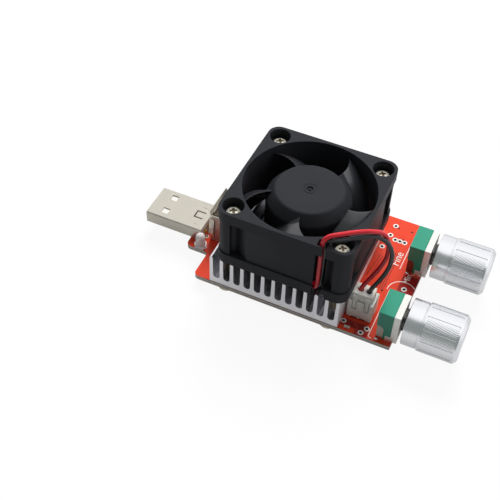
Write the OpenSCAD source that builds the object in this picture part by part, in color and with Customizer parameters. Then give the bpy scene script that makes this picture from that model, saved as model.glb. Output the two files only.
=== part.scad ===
// Small bench load: a fan over a finned heatsink on a bare board.
// A plug and a socket sit at one end, and two turning controls at the other.
// X runs from the plug to the knobs and Z points up. The feet stand on z = 0.
// The origin is under the middle of the whole part.
// Inside the modules X and Y start at the fan's axis, and Z starts at the board's top face.

/* [Board] */
// Depth of the main board along Y
board_d = 48.9; // [46:0.1:60]
// Thickness of the board
board_t = 1.6; // [1:0.1:2.4]
// Radius of the board's corners on the plug's side
board_r = 1.5; // [0.5:0.1:3]
// Radius of the board's corners on the knobs' side
board_end_r = 0.4; // [0.2:0.1:2]
// Distance from the fan's left side to the board's left edge
board_side = 7.2; // [5:0.1:10]
// Distance by which the fan stands out over the board's front edge
fan_over = 0.5; // [-4:0.1:1.5]
// Distance from the back of a control's cover to the board's right edge
board_lip = 0.7; // [0.2:0.1:1.5]
// Length of the tab that carries the plug
tab_l = 7.5; // [6:0.1:12]
// Depth of the tab
tab_d = 19.8; // [18:0.1:26]
// Distance from the fan's axis to the tab's front edge
tab_front = 9.8; // [9:0.1:12]
// Radius of the fillets where the tab joins the board
tab_fillet = 1.5; // [0.5:0.1:3]
// Gap round a lead in its hole
lead_gap = 0.15; // [0.05:0.05:0.3]
// Length of a lead below the board
lead_out = 1.4; // [0.8:0.1:2]
// Height of a solder joint
joint_h = 1; // [0.5:0.1:1.4]
// Diameter of the spare plated holes
spare_d = 1; // [0.6:0.1:1.4]

/* [Heatsink] */
// Width of the heatsink beyond the fan's
sink_over = 0.4; // [0:0.1:1]
// Number of fins
sink_fins = 13; // [9:1:15]
// Height of the heatsink
sink_h = 10.5; // [8:0.5:20]
// Thickness of the heatsink's base below the slots
sink_base = 2; // [1.6:0.1:4]
// Length of the fins along Y
sink_d = 40; // [36:0.5:46]
// Thickness of a fin at its root
fin_root = 1.2; // [1:0.1:1.6]
// Thickness of a fin at its tip
fin_tip = 1; // [0.7:0.1:1]
// Thickness of the thermal pad under the heatsink
pad_t = 0.2; // [0.1:0.1:1]

/* [Fan frame] */
// Width of the square fan frame
fan_w = 40; // [39:0.5:44]
// Height of the fan frame
fan_h = 20; // [18:0.5:28]
// Distance from the frame's sides to the middle of a screw hole
fan_hole_in = 4; // [3.5:0.1:4.5]
// Least distance from the frame's sides to the bore
bore_rim = 1; // [0.8:0.1:2]
// Least wall round the bore, beside the leads
duct_wall = 0.95; // [0.7:0.05:1.2]
// Thickness of the two flanges
fan_flange = 3.6; // [3.4:0.1:4.5]
// Distance by which the frame's round outer wall would stand out, if its sides weren't flat
wall_over = 2; // [0.5:0.1:3]
// Distance by which the columns and the wall stand back from the flanges' sides
column_set = 0.4; // [0.1:0.1:0.6]
// Radius of the frame's corners
fan_corner_r = 3.5; // [2:0.1:4]
// Width of the square corner columns
column_w = 4.6; // [4:0.1:7]
// Radius of the tubes round the fan screws
column_r = 2.4; // [2.1:0.1:3.4]
// Thickness of the motor seat
seat_t = 1.6; // [1.2:0.1:2]
// Height of the struts that carry the motor seat
strut_h = 2.4; // [2:0.1:2.6]
// Width of a strut
strut_w = 2.2; // [1.6:0.1:3]
// Direction of the strut that holds the leads
lead_angle = -59; // [-62:1:-56]

/* [Fan rotor] */
// Diameter of the hub's flat top
hub_d = 19.5; // [19:0.1:21]
// Diameter of the hub below its sloping shoulder
hub_foot_d = 24.6; // [23:0.1:26]
// Height of the sloping shoulder round the hub's top
hub_slope_h = 3.2; // [2:0.1:4.5]
// Distance of the hub's top below the frame's top
hub_sink = 0.8; // [0.4:0.1:2]
// Radius of the hub's top edge
hub_edge = 0.6; // [0.3:0.1:1]
// Number of blades
blades = 5; // [3:1:9]
// Thickness of a blade at its middle
blade_t = 1.1; // [0.8:0.1:1.4]
// Direction of the first blade's leading edge
blade_start = 134; // [0:1:180]
// Angle that a blade covers seen from above
blade_wrap = 56; // [30:1:60]
// Angle by which a blade's tip runs ahead of its root
blade_sweep = 12; // [0:1:20]
// Gap between the blade tips and the bore
tip_gap = 0.6; // [0.4:0.1:1.5]
// Diameter of the fan's shaft
fan_shaft_d = 2; // [1.5:0.1:2.6]
// Radial clearance of a shaft in its bearing
run_gap = 0.04; // [0.02:0.01:0.08]
// Wall of the steel cup
cup_wall = 0.5; // [0.4:0.1:0.8]
// Thickness of the magnet ring
magnet_t = 1.1; // [0.8:0.1:1.4]
// Gap between the magnet and the poles
air_gap = 0.5; // [0.3:0.1:0.8]

/* [Screws] */
// Diameter of the fan screws
fan_screw_d = 2.6; // [2.2:0.1:3]
// Diameter of the fan screws' heads
fan_head_d = 3.9; // [3.6:0.1:5.4]
// Height of the fan screws' heads
fan_head_h = 1.4; // [1.2:0.1:2]
// Depth that the fan screws reach into the heatsink
fan_screw_bite = 6.5; // [4:0.5:7]
// Diameter of the counterbores in the frame's corners
cbore_d = 6.2; // [5.8:0.1:6.4]
// Depth of the counterbores
cbore_depth = 3.2; // [2.2:0.1:3.2]
// Diameter of the screws that hold the heatsink from below
foot_screw_d = 3; // [2.5:0.1:3.5]
// Diameter of those screws' heads, which are the feet
foot_head_d = 5.6; // [5:0.1:7]
// Height of the feet
foot_head_h = 2.4; // [2.3:0.1:4]
// Distance between the feet along Y
foot_pitch_y = 32; // [26:0.5:34]
// Gap round a screw in a plain hole
screw_gap = 0.2; // [0.1:0.05:0.3]

/* [Plug] */
// Width of the plug's shell
plug_w = 12; // [11.8:0.05:12.2]
// Height of the plug's shell
plug_h = 4.5; // [4.4:0.05:4.7]
// Length of the plug's shell
plug_l = 18.75; // [17:0.25:22]
// Thickness of the plug's sheet metal
plug_wall = 0.3; // [0.25:0.05:0.4]
// Distance from the fan's left side to the plug's back end
plug_out = 11.3; // [10.8:0.1:12]
// Middle of the plug along Y
plug_y = -0.6; // [-0.8:0.1:1]
// Thickness of the plug's tongue
plug_tongue_t = 1.9; // [1.8:0.05:2]
// Depth of the solid block behind the plug's tongue
plug_block_l = 6.5; // [5:0.25:8]

/* [Socket] */
// Width of the upright socket along Y
socket_w = 13.1; // [12.9:0.1:13.4]
// Thickness of the upright socket along X
socket_t = 5.7; // [5.6:0.1:6]
// Height of the upright socket
socket_h = 10; // [9:0.25:14]
// Thickness of the socket's sheet metal
socket_wall = 0.3; // [0.25:0.05:0.4]
// Height of the socket's solid base
socket_base = 2.6; // [2:0.1:4]
// Distance from the fan's left side to the socket's middle
socket_out = 6.4; // [6:0.1:7]
// Middle of the socket along Y
socket_y = 2; // [0:0.1:3]
// Length of the flared lips
lip_l = 1.1; // [0.8:0.1:1.6]
// Lean of the flared lips
lip_lean = 28; // [20:1:40]

/* [Controls] */
// Width of a control's body along Y
pot_w = 9.4; // [9:0.1:10.5]
// Height of a control's body
pot_h = 11; // [10:0.1:13]
// Gap between the fan's connector and the back of the controls
pot_gap = 2.6; // [1.5:0.1:5]
// Depth of the bare part of a control's body
pot_depth = 4.5; // [4:0.1:6]
// Depth of the metal cover
cover_depth = 1.9; // [1.5:0.1:3]
// Thickness of the cover's sheet metal
cover_wall = 0.5; // [0.3:0.05:0.6]
// Height of the notch under the back of the body
notch_h = 5.2; // [4:0.1:6]
// Depth of the notch
notch_depth = 2.3; // [1.5:0.1:2.6]
// Radius of the fillet in the notch
notch_r = 1.2; // [0.5:0.1:1.4]
// Height of the control's shaft above the board
axis_h = 6; // [5.5:0.1:6.5]
// Distance from the board's front edge to the middle of the front control
coarse_in = 6.4; // [5.5:0.1:7.5]
// Distance between the two controls
control_pitch = 27.1; // [23:0.1:29]
// Diameter of the threaded bushing
bushing_d = 7; // [6.8:0.1:8]
// Length of the bushing in front of the cover
bushing_l = 5; // [3:0.25:6]
// Diameter of the control's shaft
pot_shaft_d = 6; // [5:0.1:6.2]
// Length of the shaft in front of the cover
pot_shaft_l = 14; // [12:0.5:14.5]

/* [Knobs] */
// Diameter of the grooved grip
knob_d = 14.2; // [13:0.1:14.6]
// Diameter of the smooth ring behind the grip
ring_d = 13.6; // [12.6:0.1:14]
// Length of the smooth ring
ring_l = 4.6; // [3:0.1:6]
// Length of the whole knob
knob_l = 16; // [15.5:0.25:20]
// Gap between the cover and the knob
knob_gap = 1.2; // [0.6:0.1:2]
// Size of the chamfer round the knob's front
knob_chamfer = 1; // [0.4:0.1:1.4]
// Thickness of the knob's front wall
knob_front = 1.6; // [1.2:0.1:2.5]
// Diameter of the plastic insert
insert_d = 11; // [10:0.1:11.4]
// Number of grooves along the grip
knob_grooves = 12; // [8:1:24]
// Width of a groove
groove_w = 0.5; // [0.3:0.05:0.8]
// Depth of a groove
groove_depth = 0.3; // [0.15:0.05:0.5]

/* [Fan connector] */
// Width of the header along X
header_w = 7.4; // [7.2:0.1:8]
// Depth of the header along Y
header_d = 5.75; // [5.5:0.05:6.2]
// Height of the header
header_h = 7; // [6:0.1:8]
// Wall of the header
header_wall = 0.7; // [0.5:0.05:0.8]
// Thickness of the header's floor
header_floor = 1.5; // [1:0.1:2]
// Distance from the fan's right side to the header's middle
header_out = 2.9; // [2.4:0.1:4]
// Distance from the board's front edge to the header's middle
header_in = 8.4; // [8:0.1:9]
// Height of the top of the lead's plug above the board
lead_plug_top = 9.8; // [9.4:0.1:11]
// Gap between the lead's plug and the header
lead_plug_gap = 0.1; // [0.05:0.05:0.2]
// Distance between the two pins
pin_pitch = 2.5; // [2.3:0.1:2.6]
// Width of a square pin
pin_w = 0.64; // [0.5:0.02:0.7]
// Diameter of the fan's leads
lead_d = 1.3; // [1:0.1:1.3]

/* [Lamp] */
// Diameter of the lamp's lens
lamp_d = 3; // [2.8:0.1:3.2]
// Diameter of the lamp's flange
lamp_flange_d = 3.8; // [3.5:0.1:4.2]
// Height of the lamp
lamp_h = 5.2; // [4:0.1:6]
// Distance from the tab's left edge to the lamp's middle
lamp_back = 4.3; // [4.2:0.1:5]
// Distance from the tab's front edge to the lamp's middle
lamp_in = 1.4; // [1.2:0.1:1.5]

/* [Chips] */
// Height of the power transistor
mosfet_h = 2.2; // [1.8:0.05:2.25]
// Size of the power transistor's body along X and Y
mosfet_w = 6.6; // [6:0.1:7]
// Height of the control chip
opamp_h = 1.5; // [1.2:0.05:1.75]
// Width of the control chip
opamp_w = 3.9; // [3.5:0.1:4.5]
// Length of the control chip
opamp_l = 4.9; // [4.5:0.1:5.5]
// Length of the sense resistor
sense_l = 6.4; // [5:0.1:7]
// Width of the sense resistor
sense_w = 3.2; // [2.5:0.1:4]
// Height of the sense resistor
sense_h = 0.7; // [0.5:0.05:1.2]
// Length of the small chips
chip_l = 1.6; // [1:0.1:2]
// Width of the small chips
chip_w = 0.8; // [0.5:0.1:1]
// Height of the small chips
chip_h = 0.6; // [0.35:0.05:1]

/* [Hidden] */
$fn = 48;
// Length by which a cut runs past the face that it opens
cut = 0.5;

// Places that follow the fan's width
board_left = fan_w / 2 + board_side;
board_front = fan_w / 2 - fan_over;
plug_rear = fan_w / 2 + plug_out;
socket_x = -fan_w / 2 - socket_out;
header_x = fan_w / 2 + header_out;
header_y = header_in - board_front;
pot_rear = header_x + header_w / 2 + pot_gap;
coarse_y = coarse_in - board_front;
fine_y = coarse_y + control_pitch;

// Heatsink and fan
sink_w = fan_w + sink_over;
sink_pitch = (sink_w - fin_root) / (sink_fins - 1);
slot_r = (sink_pitch - fin_root) / 2;
// The heatsink sits half a pitch to the left, so that the fan's screws enter the slots
sink_x = -sink_pitch / 2;
sink_y = sink_d / 2 - board_front;
fan_z = pad_t + sink_h;
fan_top = fan_z + fan_h;
fan_bore = fan_w - 2 * bore_rim;
fan_hole_pitch = fan_w - 2 * fan_hole_in;
duct_d = fan_bore + 2 * duct_wall;
wall_d = fan_w + 2 * wall_over;
fan_corners = [for (x = [-1, 1], y = [-1, 1]) [x, y] * fan_hole_pitch / 2];
cbore_z = fan_top - cbore_depth;
fan_screw_end = fan_z - fan_screw_bite;

// The feet sit under the second fin from each side
foot_pitch_x = (sink_fins - 3) * sink_pitch;
foot_places = [for (x = [-1, 1], y = [-1, 1])
  [sink_x + x * foot_pitch_x / 2, sink_y + y * foot_pitch_y / 2]];
// Metal left above a foot's screw
base_skin = 0.3;
foot_bite = sink_base - base_skin;
stand_h = board_t + foot_head_h;

// Driver recesses, as parts of the heads' sizes
recess_span = 0.55;
recess_deep = 0.5;
recess_slot = 0.75;
// Width of the sphere that rounds a fan screw's head, in head widths
head_dome = 1.5;

// Solder joints: widening over the lead at the tip, and over the hole at the board
joint_tip = 0.15;
joint_collar = 0.5;

// Inside of the fan, measured up from the frame's underside
seat_step = 0.5;
seat_r = hub_foot_d / 2 - seat_step;
circuit_t = 0.8;
circuit_rim = 0.8;
rotor_gap = 0.6;
hub_bottom = seat_t + circuit_t + rotor_gap;
hub_top = fan_h - hub_sink;
cup_top = hub_top - hub_slope_h;
hub_wall = 0.8;
cup_r = hub_foot_d / 2 - hub_wall;
cup_lift = 1;
magnet_r = cup_r - cup_wall;
pole_r = magnet_r - magnet_t - air_gap;
sleeve_wall = 0.9;
sleeve_r = fan_shaft_d / 2 + sleeve_wall;
tube_wall = 1.1;
tube_r = sleeve_r + tube_wall;
tube_drop = 2.2;
tube_top = cup_top - cup_wall - tube_drop;
shoulder_w = 0.6;
shoulder_r = tube_r + shoulder_w;
shoulder_rise = 2.2;
shoulder_z = hub_bottom + shoulder_rise;
core_drop = 2;
core_h = tube_top - shoulder_z - core_drop;
shaft_bottom = seat_t + rotor_gap;
shaft_rise = 0.6;
shaft_top = cup_top + hub_slope_h * shaft_rise;
dimple_d = 2;
dimple_depth = 0.3;

// Stator: a core of four poles, each with a coil on its arm
core_ring = 1;
arm_w = 1.8;
shoe_t = 1.3;
shoe_gap = 1.6;
coil_side = 1.1;
coil_over = 0.8;
coil_gap = 0.15;
coil_from = tube_r + core_ring + coil_gap;
coil_end = sqrt(pow(pole_r - shoe_t, 2) - pow(arm_w / 2 + coil_side, 2)) - coil_gap;

// Blades: drop below the hub's top, gap above the struts, and how far the root sits in the hub
blade_drop = 1;
blade_top = hub_top - blade_drop;
blade_lift = 0.8;
blade_bottom = strut_h + blade_lift;
blade_rise = blade_top - blade_bottom;
blade_sink = 0.25;
// Part of a blade's fall that comes from its curl, and its thickness at the edges as a part of the middle's
blade_curl = 0.25;
blade_edge = 0.35;
tip_r = fan_bore / 2 - tip_gap;

// The leads run in a channel under one strut, rise in a notch and leave through the top flange
channel_gap = 0.3;
channel_w = 2 * (lead_d + channel_gap);
channel_h = lead_d + channel_gap;
channel_wall = 0.8;
gate_r = fan_bore / 2 - cut;
gate_run = 3;
gate_h = fan_flange + 1;
// The notch lies just outside the duct, where the channel ends
notch_turn = 0.8;
notch_x = (duct_d / 2 + lead_d) * cos(lead_angle + notch_turn);
notch_w = 2.8;
notch_depth_y = 4.2;
notch_rim = 0.4;
slit_w = 0.9;

// Plug
plug_pin_y = [-3.5, -1, 1, 3.5];
plug_pin_out = 0.6;
plug_pin_x = -plug_rear + plug_pin_out;
contact_w = 0.9;
contact_t = 0.3;
plug_leg_in = 2.2;
plug_leg_x = -plug_rear - plug_leg_in;
plug_leg_w = 1.6;
// The tongue lies against the shell's upper wall
plug_tongue_z = plug_h - plug_wall - plug_tongue_t;
plug_tongue_w = plug_w - 2 * plug_wall - 0.8;
// Setback of the tongue and of its contacts from the plug's mouth
tongue_set = 0.6;
contact_set = 1.5;
shell_r = 0.6;
// Windows near the mouth, and the C-shaped latch that holds the tongue's block
window_w = 2.2;
window_y = 3;
window_set = 5.2;
latch_w = 3;
latch_slit = 0.4;
latch_set = 3.2;

// Socket
socket_pin_off = 0.6;
socket_pin_x = socket_x + socket_pin_off;
socket_tongue_t = 1.9;
socket_side_gap = 0.7;
socket_tongue_w = socket_w - 2 * (socket_wall + socket_side_gap);
socket_base_gap = 0.3;
socket_leg_w = 2;
// Depth of the tongue and of its contacts below the mouth
socket_tongue_set = 0.8;
socket_contact_set = 1.6;
lip_gap = 0.3;

// Controls, from back to front along X
cover_x = pot_rear + pot_depth;
cover_front = cover_x + cover_depth;
board_l = board_left + cover_x + board_lip;
knob_x = cover_front + knob_gap;
cover_leg_w = 1.6;
cover_leg_h = 1.8;
terminal_inset = 0.4;
terminal_w = pot_w - 2 * terminal_inset;
terminal_drop = 0.5;
terminal_h = notch_h - terminal_drop;
terminal_t = 2.1;
terminal_chamfer = 0.9;
terminal_x = pot_rear + notch_depth - terminal_t / 2;
pot_pin_pitch = 2.5;
shaft_tail = 1.4;
insert_gap = 0.4;
insert_x = cover_front + bushing_l + insert_gap;
insert_end = knob_x + knob_l - knob_front;
knob_seam = 0.3;
// Smooth band at each end of the grip
grip_margin = 0.6;
groove_from = ring_l + grip_margin;
groove_to = knob_l - knob_chamfer - grip_margin;

// Lead plug and its contacts
lead_plug_w = header_w - 2 * (header_wall + lead_plug_gap);
lead_plug_d = header_d - 2 * (header_wall + lead_plug_gap);
lead_plug_bottom = header_floor + lead_plug_gap;
crimp_drop = 1.8;
contact_top = lead_plug_top - crimp_drop;
contact_lift = 0.4;
contact_bottom = lead_plug_bottom + contact_lift;
pin_drop = 0.6;
pin_top = header_h - pin_drop;
crimp_w = 1.4;
lead_hole_gap = 0.25;
relief_w = 1.4;
rib_w = 1;
rib_out = 0.8 * (header_wall + lead_plug_gap);
rib_bottom = header_h / 2 + 0.4;
rib_top = lead_plug_top - 0.8;
pin_x = [for (s = [-1, 1]) header_x + s * pin_pitch / 2];

// Lamp
lamp_x = -board_left - tab_l + lamp_back;
lamp_y = -tab_front + lamp_in;
lamp_lead_pitch = 2.4;
lamp_flange_h = 1;
lamp_root = 0.8;

// Chips on the board's underside, between the feet
under = -board_t;
mosfet_place = [sink_x - 4, sink_y + 7];
mosfet_tab_y = 1.8;
mosfet_lead_pitch = 4.6;
mosfet_lead = [0.8, 3, 0.5];
opamp_place = [sink_x + 9, sink_y - 6];
opamp_lead_pitch = 1.27;
opamp_lead = [0.4, 1, 0.6];
opamp_lift = 0.15;
sense_place = [sink_x - 8, sink_y - 6];

// Leads through the board, each with its place and its size along X and Y
pot_leads = [for (y = [coarse_y, fine_y]) each concat(
  [for (i = [-1:1]) [terminal_x, y + i * pot_pin_pitch, pin_w, pin_w]],
  [for (s = [-1, 1])
    [cover_x - cover_leg_w / 2, y + s * (pot_w - cover_wall) / 2, cover_leg_w, cover_wall]])];
plug_leads = concat(
  [for (y = plug_pin_y) [plug_pin_x, plug_y + y, contact_t, contact_w]],
  [for (s = [-1, 1]) [plug_leg_x, plug_y + s * (plug_w - plug_wall) / 2, plug_leg_w, plug_wall]]);
socket_leads = concat(
  [for (y = plug_pin_y) [socket_pin_x, socket_y + y, contact_t, contact_w]],
  [for (s = [-1, 1]) [socket_x, socket_y + s * (socket_w - socket_wall) / 2, socket_leg_w, socket_wall]]);
header_leads = [for (x = pin_x) [x, header_y, pin_w, pin_w]];
lamp_lead_list = [for (s = [-1, 1]) [lamp_x + s * lamp_lead_pitch / 2, lamp_y, pin_w, pin_w]];
leads = concat(pot_leads, plug_leads, socket_leads, header_leads, lamp_lead_list);

// Plated holes that hold nothing, between the parts on the board
spare_holes = [
  [fan_w / 2 - 0.6, header_y - 5.2],
  [header_x + 3.6, header_y - 5.2], [header_x + 2.4, header_y - 7.2],
  [pot_rear + 2.2, (coarse_y + fine_y) / 2 + 1.8], [fan_w / 2 - 0.2, fine_y + 1.8],
  [fan_w / 2 + 0.9, fine_y + 11.9], [fan_w / 2 + 0.6, fine_y + 7.5],
  for (i = [0:2]) [pot_rear - 6.6 + 1.5 * i, fine_y + 6.2]
];

// Routes of the fan's two leads: out along the channel, up the notch, over the frame and down to the contacts
// A place in the channel has its part of the way from the seat to the gate, and a side
function in_channel(way, side) =
  (seat_r + way * (gate_r - seat_r)) * [cos(lead_angle), sin(lead_angle), 0]
  + side * (lead_d / 2 + 0.03) * [-sin(lead_angle), cos(lead_angle), 0]
  + [0, 0, fan_z + channel_h / 2];
// A place in the notch has a gap to the duct, an angle from the channel and a height over the underside
function in_notch(gap, turn, z) =
  (duct_d / 2 + lead_d / 2 + gap) * [cos(lead_angle + turn), sin(lead_angle + turn), 0] + [0, 0, fan_z + z];
// A place over the frame is measured from the notch's middle, the frame's front and the frame's top
function over_top(x, y, z) = [notch_x + x, y - fan_w / 2, fan_top + z];
// A place on the way down is measured from the contact, with the height as a part of the whole drop
function on_drop(p, pin) = [pin_x[pin] + p[0], header_y + p[1], contact_top + p[2] * (fan_top - contact_top)];
red_route = concat(
  [for (way = [0.03, 0.36, 0.72, 1]) in_channel(way, -1)],
  [
    in_notch(0.2, -1.6, 1.6), in_notch(0.9, -0.9, 3.2), in_notch(1.05, -0.5, 5.3), in_notch(1.05, -0.5, 9),
    in_notch(1.05, -0.5, fan_h - 6), in_notch(1.05, -0.5, fan_h - 2.7), in_notch(1.1, -0.4, fan_h - 0.3),
    over_top(0.2, 1.6, 1.35), over_top(1.15, 2.4, 2.4),
    over_top(2.8, 3.5, 2.75), over_top(4.9, 5.1, 2.75), over_top(7.3, 6.95, 2.65), over_top(9.6, 8.6, 2.4),
    over_top(11.2, 9.85, 1.85)
  ],
  [for (p = [
    [2.15, 2.25, 1.042], [3.4, 3.35, 0.966], [4.3, 3.9, 0.853], [4.65, 4.15, 0.73], [4.7, 4.05, 0.61],
    [4.2, 3.5, 0.5], [2.8, 2.4, 0.34], [1.3, 1.2, 0.21], [0.3, 0.28, 0.12], [0, 0, 0.05], [0, 0, 0]
  ]) on_drop(p, 0)]
);
black_route = concat(
  [for (way = [0.03, 0.36, 0.72, 1.03]) in_channel(way, 1)],
  [
    in_notch(-0.2, 2.4, 1.7), in_notch(0.2, 2.8, 3.4), in_notch(0.2, 2.8, 5.8), in_notch(0.2, 2.8, 9),
    in_notch(0.2, 2.8, fan_h - 6), in_notch(0.2, 2.6, fan_h - 3), in_notch(0.2, 2.5, fan_h - 1),
    over_top(0.75, 2.6, 0.5), over_top(1.6, 2.5, 1.15),
    over_top(3.1, 2.85, 1.35), over_top(5.7, 4.95, 1), over_top(8.5, 7.2, 0.9)
  ],
  [for (p = [
    [-1.28, 0.9, 1.013], [0.45, 1.9, 0.958], [2, 2.5, 0.892], [3.2, 2.9, 0.785], [3.77, 2.8, 0.675],
    [3.75, 2.4, 0.544], [3.02, 1.8, 0.405], [1.74, 1, 0.26], [0.4, 0.25, 0.13], [0, 0, 0.055], [0, 0, 0]
  ]) on_drop(p, 1)]
);

// The part's middle, from its outermost pieces
end_left = -plug_rear - plug_l;
end_right = knob_x + knob_l;
end_front = min(-fan_w / 2, -board_front, coarse_y - knob_d / 2);
end_back = max(board_d - board_front, fan_w / 2, fine_y + knob_d / 2);

// Functions for swept shapes
function unit(v) = v / norm(v);
function tangent(p, i) = unit(p[min(i + 1, len(p) - 1)] - p[max(i - 1, 0)]);
function square_to(v, t) = unit(v - (v * t) * t);
function side_ways(p) = [
  for (i = 0, v = square_to([0, 0, 1], tangent(p, 0)); i < len(p);
       i = i + 1, v = i < len(p) ? square_to(v, tangent(p, i)) : v) v
];
// Triangles that close a stack of rings, each with the same even number of points
function stack_faces(rings, sides) = concat(
  [for (i = [0:rings - 2], j = [0:sides - 1]) each
    let (a = i * sides + j, b = i * sides + (j + 1) % sides) [[a, a + sides, b], [b, a + sides, b + sides]]],
  [for (k = [0:sides / 2 - 2]) each [[k, k + 1, sides - 1 - k], [k + 1, sides - 2 - k, sides - 1 - k]]],
  let (o = (rings - 1) * sides)
  [for (k = [0:sides / 2 - 2]) each
    [[o + k, o + sides - 1 - k, o + k + 1], [o + k + 1, o + sides - 1 - k, o + sides - 2 - k]]]);

module seated() {
  translate([-(end_left + end_right) / 2, -(end_front + end_back) / 2, stand_h]) children();
}

module rounded_rect(w, d, r) {
  square([w - 2 * r, d], center = true);
  square([w, d - 2 * r], center = true);
  for (x = [-1, 1], y = [-1, 1]) translate([x * (w / 2 - r), y * (d / 2 - r)]) circle(r);
}

module ring(r_out, r_in, h) {
  linear_extrude(h) difference() {
    circle(r_out);
    circle(r_in);
  }
}

// A box on its base, from its middle
module block(w, d, h) {
  translate([-w / 2, -d / 2, 0]) cube([w, d, h]);
}

// A cross-shaped driver recess, cut downwards from z = 0
module cross_recess(width, slot, depth) {
  for (a = [0, 90]) rotate(a) translate([0, 0, -depth]) block(width, slot, depth + cut);
}

// Board
module board_outline() {
  translate([board_l / 2 - board_left, board_d / 2 - board_front]) {
    rounded_rect(board_l, board_d, board_r);
    translate([board_l / 4, 0]) rounded_rect(board_l / 2, board_d, board_end_r);
  }
  translate([-board_left - tab_l / 2 + board_r, tab_d / 2 - tab_front])
    rounded_rect(tab_l + 2 * board_r, tab_d, board_r);
  for (s = [0, 1]) translate([-board_left, -tab_front + s * tab_d]) mirror([0, 1 - s]) difference() {
    translate([-tab_fillet, 0]) square(tab_fillet);
    translate([-tab_fillet, tab_fillet]) circle(tab_fillet);
  }
}

function lead_hole_d(l) = norm([l[2], l[3]]) + 2 * lead_gap;

module circuit_board() {
  color("firebrick") translate([0, 0, -board_t]) difference() {
    linear_extrude(board_t) board_outline();
    for (l = leads) translate([l[0], l[1], -cut]) cylinder(d = lead_hole_d(l), h = board_t + 2 * cut);
    for (p = foot_places) translate([p[0], p[1], -cut])
      cylinder(d = foot_screw_d + 2 * screw_gap, h = board_t + 2 * cut);
    for (p = spare_holes) translate([p[0], p[1], -cut]) cylinder(d = spare_d, h = board_t + 2 * cut);
  }
}

module solder_joints() {
  color("lightgray") for (l = leads) translate([l[0], l[1], -board_t - joint_h]) difference() {
    cylinder(d1 = norm([l[2], l[3]]) + joint_tip, d2 = lead_hole_d(l) + joint_collar, h = joint_h);
    translate([0, 0, -cut]) block(l[2], l[3], joint_h + 2 * cut);
  }
}

// Heatsink
function fin_x(i) = (i - (sink_fins - 1) / 2) * sink_pitch;

module sink_profile() {
  difference() {
    translate([-sink_w / 2, 0]) square([sink_w, sink_base + slot_r]);
    for (i = [0:sink_fins - 2]) translate([fin_x(i) + sink_pitch / 2, sink_base + slot_r]) circle(slot_r);
  }
  for (i = [0:sink_fins - 1]) translate([fin_x(i), 0]) {
    polygon([
      [-fin_root / 2, sink_base + slot_r], [fin_root / 2, sink_base + slot_r],
      [fin_tip / 2, sink_h - fin_tip / 2], [-fin_tip / 2, sink_h - fin_tip / 2]
    ]);
    translate([0, sink_h - fin_tip / 2]) circle(d = fin_tip);
  }
}

module heatsink() {
  color("silver") difference() {
    translate([sink_x, sink_y + sink_d / 2, pad_t]) rotate([90, 0, 0]) linear_extrude(sink_d) sink_profile();
    for (p = fan_corners) translate([p[0], p[1], fan_screw_end])
      cylinder(d = fan_screw_d, h = fan_screw_bite + cut);
    for (p = foot_places) translate([p[0], p[1], 0]) cylinder(d = foot_screw_d, h = pad_t + foot_bite);
  }
}

module thermal_pad() {
  color("whitesmoke") difference() {
    translate([sink_x, sink_y, 0]) block(sink_w, sink_d, pad_t);
    for (p = foot_places) translate([p[0], p[1], -cut])
      cylinder(d = foot_screw_d + 2 * screw_gap, h = pad_t + 2 * cut);
  }
}

module heatsink_screws() {
  color("gainsboro") for (p = foot_places) translate([p[0], p[1], -stand_h]) difference() {
    union() {
      cylinder(d = foot_head_d, h = foot_head_h);
      cylinder(d = foot_screw_d, h = stand_h + pad_t + foot_bite);
    }
    mirror([0, 0, 1]) cross_recess(foot_head_d * recess_span, recess_slot, foot_head_h * recess_deep);
  }
}

module fan_screws() {
  color("gainsboro") for (p = fan_corners) translate([p[0], p[1], cbore_z]) difference() {
    union() {
      intersection() {
        cylinder(d = fan_head_d, h = fan_head_h);
        translate([0, 0, fan_head_h - fan_head_d * head_dome / 2]) sphere(d = fan_head_d * head_dome);
      }
      translate([0, 0, fan_screw_end - cbore_z]) cylinder(d = fan_screw_d, h = cbore_z - fan_screw_end);
    }
    translate([0, 0, fan_head_h]) rotate(30)
      cross_recess(fan_head_d * recess_span, recess_slot, fan_head_h * recess_deep);
  }
}

// Fan frame
module frame_outline(inset) {
  rounded_rect(fan_w - 2 * inset, fan_w - 2 * inset, fan_corner_r - inset);
}

// The round wall with flat sides, the corner columns and the two square flanges
module fan_housing() {
  for (z = [0, fan_h - fan_flange]) translate([0, 0, z]) linear_extrude(fan_flange) frame_outline(0);
  linear_extrude(fan_h) intersection() {
    frame_outline(column_set);
    union() {
      circle(d = wall_d);
      for (p = fan_corners) translate(p) circle(column_r);
      for (x = [-1, 1], y = [-1, 1]) translate([x, y] * (fan_w - column_w) / 2)
        square(column_w, center = true);
    }
  }
}

// The motor seat, its four struts and the tube for the bearing
module motor_seat() {
  strut_root = 1;
  cylinder(r = seat_r, h = seat_t);
  cylinder(r = tube_r, h = tube_top);
  cylinder(r = shoulder_r, h = shoulder_z);
  intersection() {
    cylinder(d = fan_bore + duct_wall, h = strut_h);
    for (k = [0:3]) {
      wide = k == 0 ? channel_w + 2 * channel_wall : strut_w;
      rotate(lead_angle + 90 * k) translate([seat_r - strut_root, -wide / 2, 0])
        cube([fan_bore, wide, strut_h]);
    }
  }
}

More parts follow.
